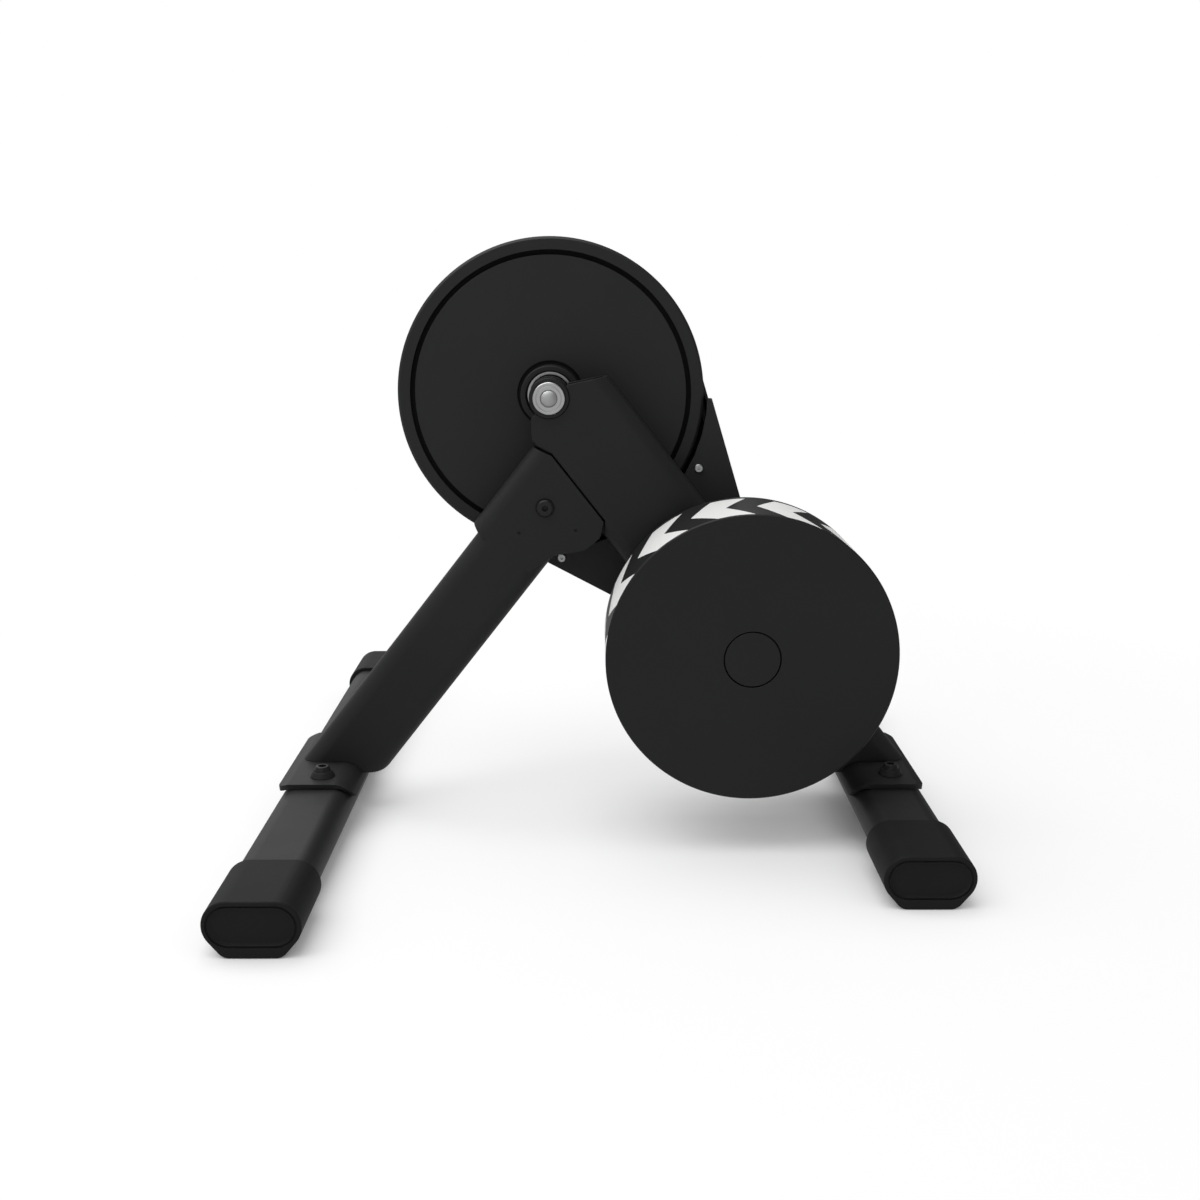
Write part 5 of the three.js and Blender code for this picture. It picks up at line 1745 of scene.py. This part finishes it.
@dataclass
class Brake:
    """The bearing housing on the beam, with the brake's toothed core and coil round it."""

    housing: float = 22.0
    housing_ends: Place = (-110.0, -14.3)
    flange: float = 34.0
    flange_ends: Place = (-52.0, -46.3)
    seat: float = 16.3
    shoulder: float = 13.0
    bearing_width: float = 10.1
    tooth_edge: float = 0.5
    tooth_angle: float = math.radians(40)
    coil_radius: float = 76.0
    coil_inner: float = 34.3
    coil_ends: Place = (-100.7, -69.3)
    turns: int = 28
    wire_sink: float = 0.22

    def build(self) -> None:
        """Makes the housing, its bearings, the core and the coil."""
        low, high = self.housing_ends
        near, far = low + self.bearing_width, high - self.bearing_width
        profile = [
            (self.seat, low), (self.housing, low), (self.housing, self.flange_ends[0]),
            (self.flange, self.flange_ends[0]), (self.flange, self.flange_ends[1]),
            (self.housing, self.flange_ends[1]), (self.housing, high), (self.seat, high),
            (self.seat, far), (self.shoulder, far), (self.shoulder, near), (self.seat, near),
        ]
        Form.turned(profile, PLACES.shaft, MIDDLE_STEPS).piece(
            "shaft_housing", SHAFT_STEEL, "bearing_housing",
        )
        for node in ("front_shaft_bearing", "rear_shaft_bearing"):
            Bearing(node, PLACES.shaft, "frame").build()
        Form.of_node("brake_core").soften(self.tooth_edge, 2, self.tooth_angle).piece(
            "toothed_core", CORE_IRON, "brake_core",
        )
        self.coil()

    def coil(self) -> None:
        """Makes the ring coil, with its turns of wire round the outside."""
        low, high = self.coil_ends
        pitch = (high - low) / self.turns
        groove = self.wire_sink * pitch
        outside = []
        for turn in range(self.turns):
            start = low + turn * pitch
            outside += [
                (self.coil_radius - groove, start), (self.coil_radius, start + pitch / 4),
                (self.coil_radius, start + 3 * pitch / 4),
            ]
        outside.append((self.coil_radius - groove, high))
        profile = [(self.coil_inner, low), *outside, (self.coil_inner, high)]
        Form.turned(profile, PLACES.shaft, MIDDLE_STEPS, soft=0).piece(
            "wound_coil", COIL_COPPER, "brake_coil",
        )


@dataclass
class Electronics:
    """The housing behind the beam with its board, inlet and status light, and the speed sensor."""

    edge: float = 1.4
    sensor_edge: float = 0.6

    def build(self) -> None:
        """Makes the housing and the sensor and dresses what sits in them."""
        box_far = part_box("electronics_housing")[1].y / MM
        Form.of_node("electronics_housing").soften(
            self.edge, 3, where=lambda middle: middle.y > box_far - TOUCH,
        ).piece("control_box", COVER_PLASTIC, "electronics_housing")
        Form.of_node("speed_sensor").soften(self.sensor_edge, 2).piece(
            "sensor_block", COVER_PLASTIC, "speed_sensor",
        )
        dress(COVER_PLASTIC, "power_inlet")
        dress(BOARD_GREEN, "circuit_board")
        dress(LENS, "status_lens")


@dataclass
class Studio:
    """A pale floor, soft light and the photograph's camera. Sizes are in metres."""

    camera_place: Point = (-0.00415, -1.06556, 0.39780)
    camera_pitch: float = math.radians(90 - 12.81)
    camera_yaw: float = math.radians(-0.13)
    focal_pixels: float = 1397.56
    picture_pixels: float = 1200.0
    sensor: float = 36.0
    floor_size: float = 40.0
    floor_white: float = 0.93
    floor_roughness: float = 0.9
    floor_lift: float = 0.49
    floor_far: Place = (0.42, 0.85)
    floor_shine: float = 0.5
    contact: float = 0.4
    contact_samples: int = 8
    ambient: float = 0.52
    front_shine: float = 0.62
    front_turn: Place = (-0.3, 0.5)
    right_shine: float = 0.15
    right_turn: Place = (0.05, 0.36)
    left_shine: float = 0.45
    left_turn: Place = (-0.8, -0.3)
    corner_shine: float = 0.15
    corner_across: Place = (-0.15, 0.2)
    corner_deep: Place = (0.2, 0.6)
    key_power: float = 94.0
    key_size: float = 3.6
    key_place: Point = (-1.1, -0.1, 3.1)
    key_target: Point = (0.0, 0.0, 0.1)

    def build(self) -> None:
        """Sets up the camera, the light, the world and the floor."""
        scene = bpy.context.scene
        scene.view_settings.view_transform = "Standard"
        self.camera(scene)
        self.world(scene)
        self.light(scene)
        self.floor(scene)

    def camera(self, scene: bpy.types.Scene) -> None:
        """Sets the camera where the photograph was taken from."""
        data = bpy.data.cameras.new("camera")
        data.sensor_width = self.sensor
        data.lens = self.sensor * self.focal_pixels / self.picture_pixels
        camera = bpy.data.objects.new("camera", data)
        camera.location = self.camera_place
        camera.rotation_euler = (self.camera_pitch, 0, self.camera_yaw)
        scene.collection.objects.link(camera)
        scene.camera = camera

    def light(self, scene: bpy.types.Scene) -> None:
        """Hangs one large soft lamp that looks at the object."""
        data = bpy.data.lights.new("key_light", "AREA")
        data.energy = self.key_power
        data.size = self.key_size
        lamp = bpy.data.objects.new("key_light", data)
        lamp.location = self.key_place
        away = Vector(self.key_place) - Vector(self.key_target)
        lamp.rotation_euler = away.to_track_quat("Z", "Y").to_euler()
        scene.collection.objects.link(lamp)

    def world(self, scene: bpy.types.Scene) -> None:
        """Makes the world white to look at, softer as a light, dimmer in gloss on some sides."""
        scene.world = bpy.data.worlds.new("studio")
        scene.world.use_nodes = True
        nodes = Nodes(scene.world.node_tree, "ShaderNodeOutputWorld")
        way = nodes.node("ShaderNodeTexCoord", out="Generated")
        across, deep = nodes.axis(way, "X", 1.0), nodes.axis(way, "Y", 1.0)
        behind = deep.ramp(*self.front_turn) * (1 - self.front_shine) + self.front_shine
        right = 1 - across.ramp(*self.right_turn) * (1 - self.right_shine)
        left = across.ramp(*self.left_turn) * (1 - self.left_shine) + self.left_shine
        corner = across.ramp(*self.corner_across) * deep.ramp(*self.corner_deep)
        beside = right * left * (1 - corner * (1 - self.corner_shine))
        glossy = nodes.node("ShaderNodeLightPath", out="Is Glossy Ray")
        white = nodes.seen() - glossy
        strength = nodes.math("MAXIMUM", white, glossy * behind * beside)
        strength = nodes.math("MAXIMUM", strength, (1 - glossy) * self.ambient)
        shine = nodes.node(
            "ShaderNodeBackground", {}, {"Color": (1, 1, 1, 1), "Strength": strength},
        )
        nodes.feed(nodes.output.inputs["Surface"], shine)

    def floor(self, scene: bpy.types.Scene) -> None:
        """Lays a pale floor that keeps the object's soft shadow and turns white away from it."""
        mesh = bmesh.new()
        bmesh.ops.create_grid(mesh, x_segments=1, y_segments=1, size=self.floor_size / 2)
        data = bpy.data.meshes.new("floor")
        mesh.to_mesh(data)
        mesh.free()
        floor = bpy.data.objects.new("floor", data)
        scene.collection.objects.link(floor)
        data.materials.append(self.floor_paint())

    def floor_paint(self) -> bpy.types.Material:
        """Returns the floor's material: paint near the object, plain white further out."""
        surface = Surface("floor_paint")
        shader = surface.shader.inputs
        shader["Base Color"].default_value = (self.floor_white,) * 3 + (1,)
        shader["Roughness"].default_value = self.floor_roughness
        shader["Specular IOR Level"].default_value = 0.0
        sky = surface.node(
            "ShaderNodeAmbientOcclusion", {"samples": self.contact_samples},
            {"Distance": self.contact}, out="AO",
        )
        away = surface.node(
            "ShaderNodeVectorMath", {"operation": "LENGTH"}, {0: surface.place}, out="Value",
        )
        far = away.ramp(*self.floor_far)
        glossy = surface.node("ShaderNodeLightPath", out="Is Glossy Ray")
        straight = surface.seen() * (sky * self.floor_lift * (1 - far) + far)
        share = surface.math("MAXIMUM", straight, glossy)
        tint = surface.mix(glossy, (1.0,) * 3, (self.floor_shine,) * 3)
        glow = surface.node("ShaderNodeEmission", {}, {"Color": tint, "Strength": 1.0})
        paint = Value(surface, surface.shader.outputs["BSDF"])
        mixed = surface.node("ShaderNodeMixShader", {}, {0: share, 1: paint, 2: glow})
        surface.feed(surface.output.inputs["Surface"], mixed)
        return surface.material


def main() -> None:
    """Builds the trainer's sub-assemblies in order, and the studio round them."""
    logging.basicConfig(level=logging.INFO, format="%(name)s %(message)s")
    half = PLACES.bar_spacing / 2
    parts = [
        Studio(),
        Foot(
            "front", bar_x=-half, inward=1, length=584.0, lip=8.2, bolt_shift=3.0, bolt_reach=42.5,
        ),
        Foot(
            "rear", bar_x=half, inward=-1, length=451.0, lip=5.6, bolt_shift=3.9, bolt_reach=38.2,
        ),
        FrameTubes(),
        Axle(),
        DrivePulley(),
        BeltCover(),
        BeltDrive(),
        Flywheel(),
        Brake(),
        Electronics(),
    ]
    for part in parts:
        LOG.info("building %s", type(part).__name__)
        part.build()


if __name__ == "__main__":
    main()
